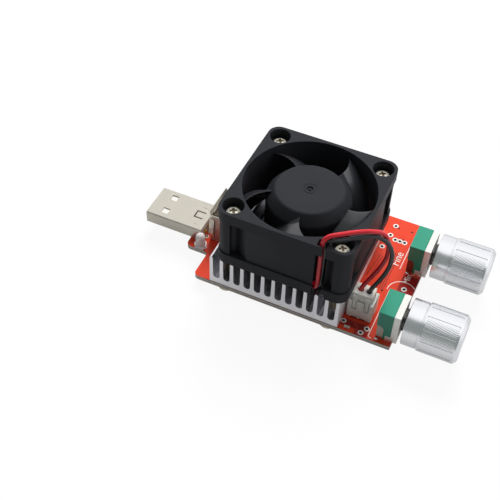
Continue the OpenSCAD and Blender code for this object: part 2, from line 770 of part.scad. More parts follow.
// The leads' channel under its strut, the notch where they rise and the slot that they leave by
module lead_cuts() {
  rotate(lead_angle) {
    translate([seat_r, -channel_w / 2, -cut]) cube([fan_w / 2, channel_w, channel_h + cut]);
    translate([gate_r, -channel_w / 2, -cut]) cube([fan_w / 2 - gate_r + gate_run, channel_w, gate_h + cut]);
  }
  difference() {
    union() {
      translate([notch_x - notch_w / 2, -fan_w / 2 - cut, -cut])
        cube([notch_w, notch_depth_y + cut, fan_h - fan_flange + cut]);
      translate([notch_x - notch_w / 2, -fan_w / 2 + notch_rim, fan_h - fan_flange])
        cube([notch_w, notch_depth_y - notch_rim, fan_flange + cut]);
      translate([notch_x + notch_w / 2 - slit_w, -fan_w / 2 - cut, fan_h - fan_flange])
        cube([slit_w, notch_depth_y, fan_flange + cut]);
    }
    cylinder(d = duct_d, h = fan_h + cut);
  }
}

module fan_frame() {
  color("#2a2b2e") translate([0, 0, fan_z]) difference() {
    union() {
      difference() {
        fan_housing();
        translate([0, 0, -cut]) cylinder(d = fan_bore, h = fan_h + 2 * cut);
      }
      motor_seat();
    }
    translate([0, 0, seat_t]) cylinder(r = sleeve_r, h = tube_top);
    for (p = fan_corners) translate([p[0], p[1], -cut]) {
      cylinder(d = fan_screw_d + 2 * screw_gap, h = fan_h + 2 * cut);
      translate([0, 0, fan_h - cbore_depth + cut]) cylinder(d = cbore_d, h = cbore_depth + cut);
    }
    lead_cuts();
  }
}

module fan_bearing() {
  color("goldenrod") translate([0, 0, fan_z + seat_t])
    ring(sleeve_r, fan_shaft_d / 2 + run_gap, tube_top - seat_t);
}

module fan_circuit() {
  color("darkgreen") translate([0, 0, fan_z + seat_t]) ring(pole_r + circuit_rim, shoulder_r, circuit_t);
}

// Stator
module fan_stator() {
  color("dimgray") translate([0, 0, fan_z + shoulder_z]) linear_extrude(core_h) difference() {
    union() {
      circle(tube_r + core_ring);
      for (k = [0:3]) rotate(90 * k + 45) translate([0, -arm_w / 2]) square([pole_r - shoe_t / 2, arm_w]);
      difference() {
        circle(pole_r);
        circle(pole_r - shoe_t);
        for (k = [0:3]) rotate(90 * k) square([4 * pole_r, shoe_gap], center = true);
      }
    }
    circle(tube_r);
  }
}

module fan_coils() {
  color("chocolate") translate([0, 0, fan_z + shoulder_z]) for (k = [0:3]) rotate(90 * k + 45) difference() {
    translate([coil_from, -arm_w / 2 - coil_side, -coil_over])
      cube([coil_end - coil_from, arm_w + 2 * coil_side, core_h + 2 * coil_over]);
    translate([0, -arm_w / 2, 0]) cube([pole_r, arm_w, core_h]);
  }
}

// Fan rotor
module fan_shaft() {
  color("silver") translate([0, 0, fan_z + shaft_bottom])
    cylinder(d = fan_shaft_d, h = shaft_top - shaft_bottom);
}

module fan_cup() {
  color("gray") translate([0, 0, fan_z]) {
    translate([0, 0, hub_bottom + cup_lift]) ring(cup_r, magnet_r, cup_top - hub_bottom - cup_lift);
    translate([0, 0, cup_top - cup_wall]) ring(cup_r, fan_shaft_d / 2, cup_wall);
  }
}

module fan_magnet() {
  color("#3a3836") translate([0, 0, fan_z + shoulder_z - coil_over])
    ring(magnet_r, magnet_r - magnet_t, core_h + 2 * coil_over);
}

function hub_radius(z) = hub_d / 2 + (hub_foot_d - hub_d) / 2 * min(1, (hub_top - z) / hub_slope_h);

// Hub: a cup with a sloping shoulder, a rounded top edge, a bore for the shaft and a dimple over it
module fan_hub() {
  edge_z = hub_top - hub_edge;
  rotate_extrude() difference() {
    union() {
      polygon([
        [0, hub_bottom], [hub_foot_d / 2, hub_bottom], [hub_foot_d / 2, cup_top],
        [hub_radius(edge_z), edge_z], [hub_radius(edge_z) - hub_edge, hub_top], [0, hub_top]
      ]);
      translate([hub_radius(edge_z) - hub_edge, edge_z]) circle(hub_edge);
    }
    translate([0, hub_bottom - cut]) square([cup_r, cup_top - hub_bottom + cut]);
    square([fan_shaft_d / 2, shaft_top]);
    translate([0, hub_top - dimple_depth]) square([dimple_d / 2, dimple_depth + cut]);
  }
}

// A point of a blade: s runs from root to tip, t from leading to trailing edge, side is 1 above and -1 below
function blade_z(t) = blade_top - blade_rise * ((1 - blade_curl) * t + blade_curl * t * t);
function blade_point(s, t, side) =
  let (
    root = hub_radius(blade_z(t)) - blade_sink,
    r = root + (tip_r - root) * s,
    arc = r * blade_wrap * PI / 180,
    slope = atan2(blade_rise, arc),
    half = side * blade_t / 2 * (blade_edge + (1 - blade_edge) * sin(180 * t)),
    a = blade_sweep * s * s - blade_wrap * t - half * sin(slope) / r * 180 / PI
  ) [r * cos(a), r * sin(a), blade_z(t) + half * cos(slope)];

module fan_blade() {
  spans = 5;
  chords = 9;
  points = [for (i = [0:spans]) each concat(
    [for (j = [0:chords]) blade_point(i / spans, j / chords, 1)],
    [for (j = [chords:-1:0]) blade_point(i / spans, j / chords, -1)])];
  polyhedron(points, stack_faces(spans + 1, 2 * chords + 2));
}

module fan_impeller() {
  color("#303236") translate([0, 0, fan_z]) {
    fan_hub();
    for (k = [0:blades - 1]) rotate(blade_start + 360 / blades * k) fan_blade();
  }
}

// Fan leads and their connector
module lead(route) {
  sides = 8;
  side = side_ways(route);
  points = [for (i = [0:len(route) - 1], j = [0:sides - 1])
    let (t = tangent(route, i), a = 360 * j / sides)
    route[i] + lead_d / 2 * (cos(a) * side[i] + sin(a) * cross(t, side[i]))];
  polyhedron(points, stack_faces(len(route), sides));
}

module fan_lead_red() {
  color("crimson") lead(red_route);
}

module fan_lead_black() {
  color("#222428") lead(black_route);
}

module header() {
  color("ivory") translate([header_x, header_y, 0]) difference() {
    block(header_w, header_d, header_h);
    translate([0, 0, header_floor]) block(header_w - 2 * header_wall, header_d - 2 * header_wall, header_h);
    for (s = [-1, 1]) translate([s * header_w / 4, -header_d / 2, header_h / 2])
      block(relief_w, 2 * header_wall + cut, header_h);
    for (x = pin_x) translate([x - header_x, 0, -cut]) block(pin_w, pin_w, header_h);
  }
}

module header_pins() {
  color("silver") for (x = pin_x) translate([x, header_y, -board_t - lead_out])
    block(pin_w, pin_w, board_t + lead_out + pin_top);
}

module lead_plug() {
  color("ivory") translate([header_x, header_y, 0]) difference() {
    union() {
      translate([0, 0, lead_plug_bottom]) block(lead_plug_w, lead_plug_d, lead_plug_top - lead_plug_bottom);
      for (s = [-1, 1]) translate([s * header_w / 4, -lead_plug_d / 2, rib_bottom])
        block(rib_w, 2 * rib_out, rib_top - rib_bottom);
    }
    for (x = pin_x) translate([x - header_x, 0, lead_plug_bottom - cut]) {
      block(crimp_w, crimp_w, contact_top - lead_plug_bottom + cut);
      cylinder(d = lead_d + 2 * lead_hole_gap, h = lead_plug_top);
    }
  }
}

module lead_contacts() {
  color("gainsboro") for (x = pin_x) translate([x, header_y, contact_bottom]) difference() {
    block(crimp_w, crimp_w, contact_top - contact_bottom);
    translate([0, 0, -cut]) block(pin_w, pin_w, pin_top - contact_bottom + 2 * cut);
  }
}

// Plug
module usb_plug_shell() {
  color("lightgray") translate([0, plug_y, 0]) {
    difference() {
      translate([-plug_rear, 0, plug_h / 2]) rotate([0, -90, 0]) linear_extrude(plug_l) difference() {
        rounded_rect(plug_h, plug_w, shell_r);
        rounded_rect(plug_h - 2 * plug_wall, plug_w - 2 * plug_wall, shell_r - plug_wall);
      }
      for (s = [-1, 1]) translate([end_left + window_set, s * window_y, -cut])
        block(window_w, window_w, plug_h + 2 * cut);
      translate([-plug_rear - latch_set, 0, plug_h - plug_wall - cut / 2]) difference() {
        block(latch_w, latch_w, plug_wall + cut);
        translate([latch_slit, 0, -cut]) block(latch_w, latch_w - 2 * latch_slit, plug_wall + 3 * cut);
      }
    }
    for (s = [-1, 1]) translate([plug_leg_x, s * (plug_w - plug_wall) / 2, -board_t - lead_out])
      block(plug_leg_w, plug_wall, board_t + lead_out + plug_h / 2);
  }
}

module usb_plug_tongue() {
  color("white") translate([-plug_rear, plug_y, 0]) difference() {
    union() {
      translate([-plug_block_l / 2, 0, plug_wall]) block(plug_block_l, plug_tongue_w, plug_h - 2 * plug_wall);
      translate([(tongue_set - plug_l) / 2, 0, plug_tongue_z])
        block(plug_l - tongue_set, plug_tongue_w, plug_tongue_t);
    }
    plug_contact_paths();
  }
}

// The four contacts lie in the tongue's lower face and turn down behind the shell
module plug_contact_paths() {
  for (y = plug_pin_y) translate([0, y, 0]) {
    translate([contact_set - plug_l, -contact_w / 2, plug_tongue_z])
      cube([plug_l - contact_set + plug_pin_out + contact_t / 2, contact_w, contact_t]);
    translate([plug_pin_x + plug_rear - contact_t / 2, -contact_w / 2, -board_t - lead_out])
      cube([contact_t, contact_w, board_t + lead_out + plug_tongue_z + contact_t]);
  }
}

module usb_plug_contacts() {
  color("gold") translate([-plug_rear, plug_y, 0]) plug_contact_paths();
}

// Socket
module usb_socket_shell() {
  color("lightgray") translate([socket_x, socket_y, 0]) {
    linear_extrude(socket_h) difference() {
      rounded_rect(socket_t, socket_w, shell_r);
      rounded_rect(socket_t - 2 * socket_wall, socket_w - 2 * socket_wall, shell_r - socket_wall);
    }
    // Four lips that lean out from the mouth
    for (k = [0:3]) {
      reach = (k % 2 == 0 ? socket_t : socket_w) / 2;
      width = (k % 2 == 0 ? socket_w : socket_t) - 2 * (shell_r + lip_gap);
      rotate(90 * k) translate([reach - socket_wall, -width / 2, socket_h]) rotate([0, lip_lean, 0])
        translate([0, 0, -socket_wall]) cube([socket_wall, width, lip_l + socket_wall]);
    }
    for (s = [-1, 1]) translate([0, s * (socket_w - socket_wall) / 2, -board_t - lead_out])
      block(socket_leg_w, socket_wall, board_t + lead_out + socket_base);
  }
}

module usb_socket_tongue() {
  inner_t = socket_t - 2 * socket_wall;
  color("white") translate([socket_x, socket_y, 0]) difference() {
    union() {
      block(inner_t, socket_w - 2 * (socket_wall + socket_base_gap), socket_base);
      translate([socket_pin_x - socket_x + (socket_tongue_t - contact_t) / 2, 0, 0])
        block(socket_tongue_t, socket_tongue_w, socket_h - socket_tongue_set);
    }
    translate([-socket_x, -socket_y, 0]) usb_socket_contacts();
  }
}

module usb_socket_contacts() {
  color("gold") for (y = plug_pin_y) translate([socket_pin_x, socket_y + y, -board_t - lead_out])
    block(contact_t, contact_w, board_t + lead_out + socket_h - socket_contact_set);
}

// Controls
module pot_body(y) {
  color("mediumseagreen") translate([0, y, 0]) difference() {
    union() {
      translate([pot_rear, pot_w / 2, 0]) rotate([90, 0, 0]) linear_extrude(pot_w) difference() {
        square([pot_depth, pot_h]);
        translate([-cut, -cut]) square([notch_depth + cut, notch_h - notch_r + cut]);
        translate([-cut, -cut]) square([notch_depth - notch_r + cut, notch_h + cut]);
        translate([notch_depth - notch_r, notch_h - notch_r]) circle(notch_r);
      }
      translate([cover_x, -pot_w / 2 + cover_wall, 0])
        cube([cover_depth - cover_wall, pot_w - 2 * cover_wall, pot_h - cover_wall]);
    }
    translate([cover_front - cover_wall - shaft_tail - cut, 0, axis_h]) rotate([0, 90, 0])
      cylinder(d = pot_shaft_d + 2 * run_gap, h = shaft_tail + 2 * cut);
    // Room for the cover's legs
    for (s = [-1, 1]) translate([cover_x - cover_leg_w, s * (pot_w - cover_wall) / 2 - cover_wall / 2, -cut])
      cube([cover_leg_w, cover_wall, cover_leg_h + cut]);
  }
}

module pot_cover(y) {
  color("whitesmoke") translate([0, y, 0]) {
    difference() {
      translate([cover_x, -pot_w / 2, 0]) cube([cover_depth, pot_w, pot_h]);
      translate([cover_x - cut, -pot_w / 2 + cover_wall, -cut])
        cube([cover_depth - cover_wall + cut, pot_w - 2 * cover_wall, pot_h - cover_wall + cut]);
      translate([cover_x, 0, axis_h]) rotate([0, 90, 0]) cylinder(d = bushing_d, h = cover_depth + cut);
    }
    for (s = [-1, 1])
      translate([cover_x - cover_leg_w / 2, s * (pot_w - cover_wall) / 2, -board_t - lead_out])
        block(cover_leg_w, cover_wall, board_t + lead_out + cover_leg_h);
  }
}

module pot_terminals(y) {
  color("antiquewhite") translate([terminal_x, y, 0]) difference() {
    translate([-terminal_t / 2, terminal_w / 2, 0]) rotate([90, 0, 0]) linear_extrude(terminal_w) polygon([
      [0, 0], [terminal_t, 0], [terminal_t, terminal_h - terminal_chamfer],
      [terminal_t - terminal_chamfer, terminal_h], [0, terminal_h]
    ]);
    for (i = [-1:1]) translate([0, i * pot_pin_pitch, -cut]) block(pin_w, pin_w, terminal_h);
  }
}

module pot_pins(y) {
  color("silver") for (i = [-1:1]) translate([terminal_x, y + i * pot_pin_pitch, -board_t - lead_out])
    block(pin_w, pin_w, board_t + lead_out + terminal_h - cut);
}

// Turned pieces of a control, along X from the cover's inner face
module along_axis(x, y) {
  translate([x, y, axis_h]) rotate([0, 90, 0]) children();
}

module pot_bushing(y) {
  color("dimgray") along_axis(cover_front - cover_wall, y)
    ring(bushing_d / 2, pot_shaft_d / 2 + run_gap, bushing_l + cover_wall);
}

module pot_shaft(y) {
  color("silver") along_axis(cover_front - cover_wall - shaft_tail, y)
    cylinder(d = pot_shaft_d, h = pot_shaft_l + cover_wall + shaft_tail);
}

module knob_insert(y) {
  color("#26282a") along_axis(insert_x, y) difference() {
    cylinder(d = insert_d, h = insert_end - insert_x);
    translate([0, 0, -cut]) cylinder(d = pot_shaft_d, h = cover_front + pot_shaft_l - insert_x + cut);
  }
}

module knob(y) {
  color("gainsboro") along_axis(knob_x, y) difference() {
    rotate_extrude() polygon([
      [insert_d / 2, 0], [ring_d / 2, 0], [ring_d / 2, ring_l - knob_seam],
      [ring_d / 2 - knob_seam, ring_l - knob_seam], [ring_d / 2 - knob_seam, ring_l], [knob_d / 2, ring_l],
      [knob_d / 2, knob_l - knob_chamfer], [knob_d / 2 - knob_chamfer, knob_l],
      [0, knob_l], [0, knob_l - knob_front], [insert_d / 2, knob_l - knob_front]
    ]);
    for (k = [0:knob_grooves - 1]) rotate(360 / knob_grooves * (k + 0.5))
      translate([knob_d / 2 - groove_depth, -groove_w / 2, groove_from])
        cube([groove_depth + cut, groove_w, groove_to - groove_from]);
  }
}

module coarse_body() { pot_body(coarse_y); }
module coarse_cover() { pot_cover(coarse_y); }
module coarse_terminals() { pot_terminals(coarse_y); }
module coarse_pins() { pot_pins(coarse_y); }
module coarse_bushing() { pot_bushing(coarse_y); }
module coarse_shaft() { pot_shaft(coarse_y); }
module coarse_insert() { knob_insert(coarse_y); }
module coarse_knob() { knob(coarse_y); }
module fine_body() { pot_body(fine_y); }
module fine_cover() { pot_cover(fine_y); }
module fine_terminals() { pot_terminals(fine_y); }
module fine_pins() { pot_pins(fine_y); }
module fine_bushing() { pot_bushing(fine_y); }
module fine_shaft() { pot_shaft(fine_y); }
module fine_insert() { knob_insert(fine_y); }
module fine_knob() { knob(fine_y); }

// Lamp: a clear lens on a flange with one flat side
module status_lamp() {
  flat = lamp_d / 2;
  color("mistyrose") translate([lamp_x, lamp_y, 0]) difference() {
    union() {
      intersection() {
        cylinder(d = lamp_flange_d, h = lamp_flange_h);
        translate([-lamp_flange_d, -flat, 0]) cube([2 * lamp_flange_d, 2 * lamp_flange_d, lamp_flange_h]);
      }
      cylinder(d = lamp_d, h = lamp_h - lamp_d / 2);
      translate([0, 0, lamp_h - lamp_d / 2]) sphere(d = lamp_d);
    }
    translate([-lamp_x, -lamp_y, 0]) lamp_leads();
  }
}

module lamp_leads() {
  color("silver") for (l = lamp_lead_list) translate([l[0], l[1], -board_t - lead_out])
    block(l[2], l[3], board_t + lead_out + lamp_root);
}

// Chips
module mosfet_body() {
  color("#202124") translate([mosfet_place[0], mosfet_place[1], under - mosfet_h])
    block(mosfet_w, mosfet_w - mosfet_lead[2], mosfet_h - mosfet_lead[2]);
}

module mosfet_leads() {
  color("lightgray") translate([mosfet_place[0], mosfet_place[1], under - mosfet_lead[2]]) {
    translate([0, mosfet_tab_y, 0]) block(mosfet_w - 1, mosfet_w, mosfet_lead[2]);
    for (s = [-1, 1]) translate([s * mosfet_lead_pitch / 2, -mosfet_w / 2 - 1, 0])
      block(mosfet_lead[0], mosfet_lead[1], mosfet_lead[2]);
  }
}

module opamp_body() {
  color("#202124") translate([opamp_place[0], opamp_place[1], under - opamp_h])
    block(opamp_l, opamp_w, opamp_h - opamp_lift);
}

module opamp_leads() {
  lead_y = (opamp_w + opamp_lead[1]) / 2;
  color("lightgray") translate([opamp_place[0], opamp_place[1], under - opamp_lead[2]])
    for (i = [-1.5:1.5], s = [-1, 1]) translate([i * opamp_lead_pitch, s * lead_y, 0])
      block(opamp_lead[0], opamp_lead[1], opamp_lead[2]);
}

module sense_resistor() {
  color("#1c1c1e") translate([sense_place[0], sense_place[1], under - sense_h])
    block(sense_l, sense_w, sense_h);
}

module chip(place) {
  translate([place[0], place[1], place[2]]) block(chip_l, chip_w, chip_h);
}

module chip_resistors() {
  color("#1c1c1e") {
    for (i = [0:3]) chip([opamp_place[0] - 3 + 2.2 * i, opamp_place[1] + 5, under - chip_h]);
    for (i = [0:1]) chip([sense_place[0] - 1.5 + 3 * i, sense_place[1] + 4, under - chip_h]);
  }
}

module chip_capacitors() {
  color("tan") {
    for (i = [0:2]) chip([opamp_place[0] - 2.2 + 2.2 * i, opamp_place[1] - 5, under - chip_h]);
    chip([header_x - 1.8, -board_front + 1.2, 0]);
  }
}

seated() circuit_board();
seated() thermal_pad();
seated() heatsink();
seated() heatsink_screws();
seated() fan_frame();
seated() fan_bearing();
seated() fan_circuit();
seated() fan_stator();
seated() fan_coils();
seated() fan_shaft();
seated() fan_cup();
seated() fan_magnet();
seated() fan_impeller();
seated() fan_screws();
seated() fan_lead_red();
seated() fan_lead_black();
seated() lead_plug();
seated() lead_contacts();
seated() header();
seated() header_pins();
seated() usb_plug_shell();
seated() usb_plug_tongue();
seated() usb_plug_contacts();
seated() usb_socket_shell();
seated() usb_socket_tongue();
seated() usb_socket_contacts();
seated() coarse_body();
seated() coarse_cover();
seated() coarse_terminals();
seated() coarse_pins();
seated() coarse_bushing();
seated() coarse_shaft();
seated() coarse_insert();
seated() coarse_knob();
seated() fine_body();
seated() fine_cover();
seated() fine_terminals();
seated() fine_pins();
seated() fine_bushing();
seated() fine_shaft();
seated() fine_insert();
seated() fine_knob();
seated() status_lamp();
seated() lamp_leads();
seated() mosfet_body();
seated() mosfet_leads();
seated() opamp_body();
seated() opamp_leads();
seated() sense_resistor();
seated() chip_resistors();
seated() chip_capacitors();
seated() solder_joints();
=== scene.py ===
"""A small bench load on a bare red board, dressed for a studio picture.

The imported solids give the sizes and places. This script lays finer surfaces over some of them, prints the
board's marks, and gives every piece a finish. What comes from the frame or is multiplied by MM is in metres, and
so are the floor and the lamps. Other lengths are in millimetres until they are placed.
"""

import math

import bmesh
import bpy
import numpy as np
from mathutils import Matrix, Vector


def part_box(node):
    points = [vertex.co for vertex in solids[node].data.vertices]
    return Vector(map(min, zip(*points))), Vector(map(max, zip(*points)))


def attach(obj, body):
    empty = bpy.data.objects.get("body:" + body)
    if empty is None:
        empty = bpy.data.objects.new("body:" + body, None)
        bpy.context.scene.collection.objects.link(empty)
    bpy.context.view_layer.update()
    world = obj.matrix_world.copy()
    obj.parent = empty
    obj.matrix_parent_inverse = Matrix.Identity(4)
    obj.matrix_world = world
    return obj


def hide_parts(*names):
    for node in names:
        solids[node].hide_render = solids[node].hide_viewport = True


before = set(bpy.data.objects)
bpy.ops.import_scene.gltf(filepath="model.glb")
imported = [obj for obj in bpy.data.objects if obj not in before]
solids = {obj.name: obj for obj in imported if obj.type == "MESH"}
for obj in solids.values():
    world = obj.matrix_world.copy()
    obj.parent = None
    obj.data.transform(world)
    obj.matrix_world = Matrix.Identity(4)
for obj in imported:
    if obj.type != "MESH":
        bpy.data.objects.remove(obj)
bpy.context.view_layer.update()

MM = 0.001
TURN = 2 * math.pi


def low(name):
    """Lowest corner of a solid."""
    return np.array(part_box(name)[0])


def high(name):
    """Highest corner of a solid."""
    return np.array(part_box(name)[1])


def middle(name):
    """Middle of a solid's box."""
    return (low(name) + high(name)) / 2


# Marks, routes and the camera are measured from the fan's axis and the board's top face
BOARD_TOP = high("circuit_board")[2]
BOARD_UNDER = low("circuit_board")[2]
FAN_FOOT = low("fan_frame")[2]
FAN_AXIS = middle("fan_frame")[:2]
DATUM = np.array([*FAN_AXIS, BOARD_TOP])
BOARD_T = (BOARD_TOP - BOARD_UNDER) / MM


def from_datum(points):
    """Points in millimetres from the fan's axis and the board's top, as places in the frame."""
    return np.asarray(points, float) * MM + DATUM


# Camera, at the photograph's viewing angle

VIEW_AZIMUTH, VIEW_HEIGHT, VIEW_ROLL = (math.radians(a) for a in (23.311, 47.896, 2.005))
VIEW_DISTANCE = 265.984 * MM
VIEW_TARGET = from_datum((-11.917, -13.066, 11.643))
VIEW_LENS = 66.47


def set_camera():
    """A camera that looks at the target from its azimuth and height, then rolls about its own axis."""
    back = np.array([
        math.sin(VIEW_AZIMUTH) * math.cos(VIEW_HEIGHT),
        -math.cos(VIEW_AZIMUTH) * math.cos(VIEW_HEIGHT),
        math.sin(VIEW_HEIGHT),
    ])
    right = np.array([math.cos(VIEW_AZIMUTH), math.sin(VIEW_AZIMUTH), 0])
    up = np.cross(back, right)
    across = math.cos(VIEW_ROLL) * right + math.sin(VIEW_ROLL) * up
    upward = math.cos(VIEW_ROLL) * up - math.sin(VIEW_ROLL) * right
    matrix = np.eye(4)
    matrix[:3] = np.stack([across, upward, back, VIEW_TARGET + back * VIEW_DISTANCE], 1)
    camera = bpy.data.objects.new("camera", bpy.data.cameras.new("camera"))
    camera.data.lens = VIEW_LENS
    camera.data.clip_start = 0.01
    camera.matrix_world = matrix.T.tolist()
    bpy.context.scene.collection.objects.link(camera)
    bpy.context.scene.camera = camera


set_camera()


# Finishes

def paint(red, green, blue):
    """A colour from its 0 to 255 screen values, as the linear values that a shader takes."""
    screen = np.array([red, green, blue]) / 255
    linear = np.where(screen <= 0.04045, screen / 12.92, ((screen + 0.055) / 1.055) ** 2.4)
    return (*linear.tolist(), 1.0)


def both_ways(operation):
    """An operator and its reflected form, each of which adds a Math node."""
    return (
        lambda value, other: value.finish.math(operation, value, other),
        lambda value, other: value.finish.math(operation, other, value))


class Value:
    """A number that changes over a surface. Arithmetic with it adds Math nodes to its finish."""

    def __init__(self, finish, socket):
        self.finish, self.socket = finish, socket

    def __abs__(self):
        return self.finish.math("ABSOLUTE", self, 0)

    __add__, __radd__ = both_ways("ADD")
    __sub__, __rsub__ = both_ways("SUBTRACT")
    __mul__, __rmul__ = both_ways("MULTIPLY")
    __truediv__, __rtruediv__ = both_ways("DIVIDE")
    __pow__, __rpow__ = both_ways("POWER")


class Shading:
    """The nodes of one shader tree."""

    def __init__(self, tree):
        self.tree = tree

    def node(self, kind, settings=(), sockets=(), out=0):
        """A node of a kind. Its settings come first, a ramp's stops among them, then the value or link of each
        socket. The result is one of its outputs."""
        made = self.tree.nodes.new(kind)
        for name, value in dict(settings).items():
            if name == "stops":
                ramp = made.color_ramp.elements
                for spot in range(len(value) - len(ramp)):
                    ramp.new(1)
                for stop, (spot, colour) in zip(ramp, value):
                    stop.position, stop.color = spot, colour
            else:
                setattr(made, name, value)
        for key, value in dict(sockets).items():
            if isinstance(value, Value):
                self.tree.links.new(value.socket, made.inputs[key])
            else:
                made.inputs[key].default_value = value
        return Value(self, made.outputs[out])

    def math(self, operation, first, second):
        """A Math node on two values."""
        return self.node("ShaderNodeMath", {"operation": operation}, {0: first, 1: second})

    def mix(self, factor, first, second):
        """A colour between two, by a factor."""
        return self.node("ShaderNodeMix", {"data_type": "RGBA"}, {0: factor, 6: first, 7: second}, 2)

    def ease(self, value, start, end):
        """0 up to start, 1 from end on, and a smooth step between them."""
        return self.node(
            "ShaderNodeMapRange", {"interpolation_type": "SMOOTHSTEP"}, {0: value, 1: start, 2: end})


class Finish(Shading):
    """One material. Constants go straight onto the shader's sockets, and `feed` links what changes over it."""

    def __init__(self, name, **constants):
        self.name = name
        self.material = bpy.data.materials.new(name)
        self.material.use_nodes = True
        super().__init__(self.material.node_tree)
        self.shader = self.tree.nodes["Principled BSDF"]
        for socket, value in constants.items():
            self.shader.inputs[socket.replace("_", " ")].default_value = value
        self.place = self.node("ShaderNodeTexCoord", out="Object")

    def feed(self, **links):
        """Links values to the shader's sockets."""
        for socket, value in links.items():
            self.tree.links.new(value.socket, self.shader.inputs[socket.replace("_", " ")])

    def axis(self, name):
        """One of the object coordinates."""
        return self.node("ShaderNodeSeparateXYZ", sockets={0: self.place}, out=name)

    def within(self, near, far, soft):
        """1 inside a rectangle on X and Y, from its near to its far corner, with soft edges, and 0 outside."""
        spots = [self.axis("X"), self.axis("Y")]
        across, along = (
            self.ease(spot, start, start + soft) * (1 - self.ease(spot, end - soft, end))
            for spot, start, end in zip(spots, near, far))
        return across * along

    def noise(self, grain, detail=2, stretch=(1, 1, 1)):
        """Noise whose grain is a size in metres, drawn out along each axis by stretch."""
        scale = tuple(1 / (grain * s) for s in stretch)
        spot = self.node("ShaderNodeMapping", sockets={"Vector": self.place, "Scale": scale})
        return self.node("ShaderNodeTexNoise", sockets={"Vector": spot, "Scale": 1, "Detail": detail})

    def bump(self, height, depth):
        """Relief of a depth in metres, where the height runs from 0 to 1."""
        self.feed(Normal=self.node(
            "ShaderNodeBump", sockets={"Strength": 1, "Distance": depth, "Height": height}))


def shade(colour, factor):
    """A colour with its brightness changed."""
    return (*(c * factor for c in colour[:3]), 1.0)


def plastic(name, colour, roughness, grain=0.25 * MM, relief=4e-6, spread=0.12, **constants):
    """Moulded plastic: a fine even grain in relief and gloss, and a slow drift of brightness."""
    made = Finish(name, **constants)
    speckle, drift = made.noise(grain, 3), made.noise(6 * MM, 2)
    made.feed(
        Base_Color=made.mix(speckle * 0.5 + drift * 0.5, shade(colour, 1 - spread), shade(colour, 1 + spread)),
        Roughness=roughness - 0.08 + 0.16 * speckle,
    )
    made.bump(speckle, relief)
    return made


def metal(name, colour, roughness, lines=(1, 1, 1), grain=0.12 * MM, relief=1.5e-6, metallic=1.0, spread=0.1,
          **constants):
    """Bare metal: fine lines drawn out along one axis, cloudy handling marks, and gloss that follows both."""
    made = Finish(name, Metallic=metallic, **constants)
    scratch, cloud = made.noise(grain, 3, lines), made.noise(3 * MM, 3)
    made.feed(
        Base_Color=made.mix(scratch * 0.6 + cloud * 0.4, shade(colour, 1 - spread), shade(colour, 1 + spread)),
        Roughness=roughness - 0.1 + 0.12 * scratch + 0.1 * cloud,
    )
    made.bump(scratch, relief)
    return made


# Areas of the board without copper, each from its near to its far corner, and the width of their edges
# Their dark red is also painted shade, where shade falls in front of the header and the fine control
BARE_AND_SHADE = [((18.6, -17.8), (27.4, -15.2)), ((23.4, -20.3), (27.4, -17.8)), ((29.4, 0.7), (35.4, 8.1))]
BARE_AND_SHADE_EDGE = 0.15 * MM
# The fan's screws: their spacing, the radius of the heads' domes, and the steel of the dome and the painted
# shade of its recess
SCREW_SPACING, DOME_R = 32 * MM, 2.9 * MM
DOME_STEEL, RECESS_SHADE_STEEL = paint(240, 235, 218), paint(110, 96, 78)
# The fan's plastic, and the distance from the axis at which the hub ends and a blade starts
FAN_BLACK, FAN_GRAIN = paint(42, 43, 47), 0.18 * MM
FAN_GLOSS = {"Specular_IOR_Level": 0.16, "Coat_Roughness": 0.3, "Coat_IOR": 1.8}
HUB_END, BLADE_ROOT = 12.3 * MM, 12.8 * MM
WIRE_PITCH = 0.25 * MM


def solder_mask():
    """Red lacquer, bright over copper and dark over the areas without it, a dark that also stands for painted
    shade in front of the header and the fine control. Between the two faces the cut edge shows its layers, by
    height."""
    made = Finish("board_red", Specular_IOR_Level=0.4, Coat_Weight=0.08, Coat_Roughness=0.2)
    rise = (made.axis("Z") - BOARD_UNDER) / (BOARD_TOP - BOARD_UNDER)
    grey, dark, pale = paint(222, 215, 208), paint(140, 116, 110), paint(248, 244, 238)
    red = paint(150, 22, 12)
    frayed = rise + 0.05 * (made.noise(0.4 * MM, 2, (3, 3, 0.3)) - 0.5)
    layers = made.node("ShaderNodeValToRGB", {"stops": [
        (0, red), (0.06, pale), (0.3, grey), (0.38, dark), (0.46, grey), (0.6, pale), (0.78, grey),
        (0.84, dark), (0.9, grey), (0.96, red)]}, {0: frayed})
    inside = made.ease(rise, 0.004, 0.02) * (1 - made.ease(rise, 0.98, 0.996))
    weave, cloud = made.noise(0.5 * MM, 2), made.noise(5 * MM, 2)
    lacquer = made.mix(weave * 0.35 + cloud * 0.65, paint(206, 48, 14), paint(228, 62, 20))
    bare_and_shade = sum(
        made.within(*from_datum([(*corner, 0) for corner in corners]), BARE_AND_SHADE_EDGE) for corners in BARE_AND_SHADE)
    # No copper there, and the dark red also stands for painted shade in front of the header and the fine control
    face = made.mix(bare_and_shade, lacquer, paint(146, 14, 4))
    made.feed(Base_Color=made.mix(inside, face, layers), Roughness=0.34 + 0.1 * weave + 0.35 * inside)
    made.bump(weave + 2 * made.noise(0.12 * MM, 2) * inside, 4e-6)
    return made


def sawn_aluminium():
    """Extruded aluminium with bright fins. Its two outer sides are matt and paler, by the distance along X."""
    made = metal("sink_aluminium", paint(232, 232, 236), 0.36, lines=(1, 40, 1), spread=0.05)
    centre, end = float(middle("heatsink")[0]), float(high("heatsink")[0])
    off = abs(made.axis("X") - centre) - (end - centre)
    made.feed(Metallic=1 - 0.75 * made.ease(off, -0.2 * MM, -0.02 * MM))
    return made


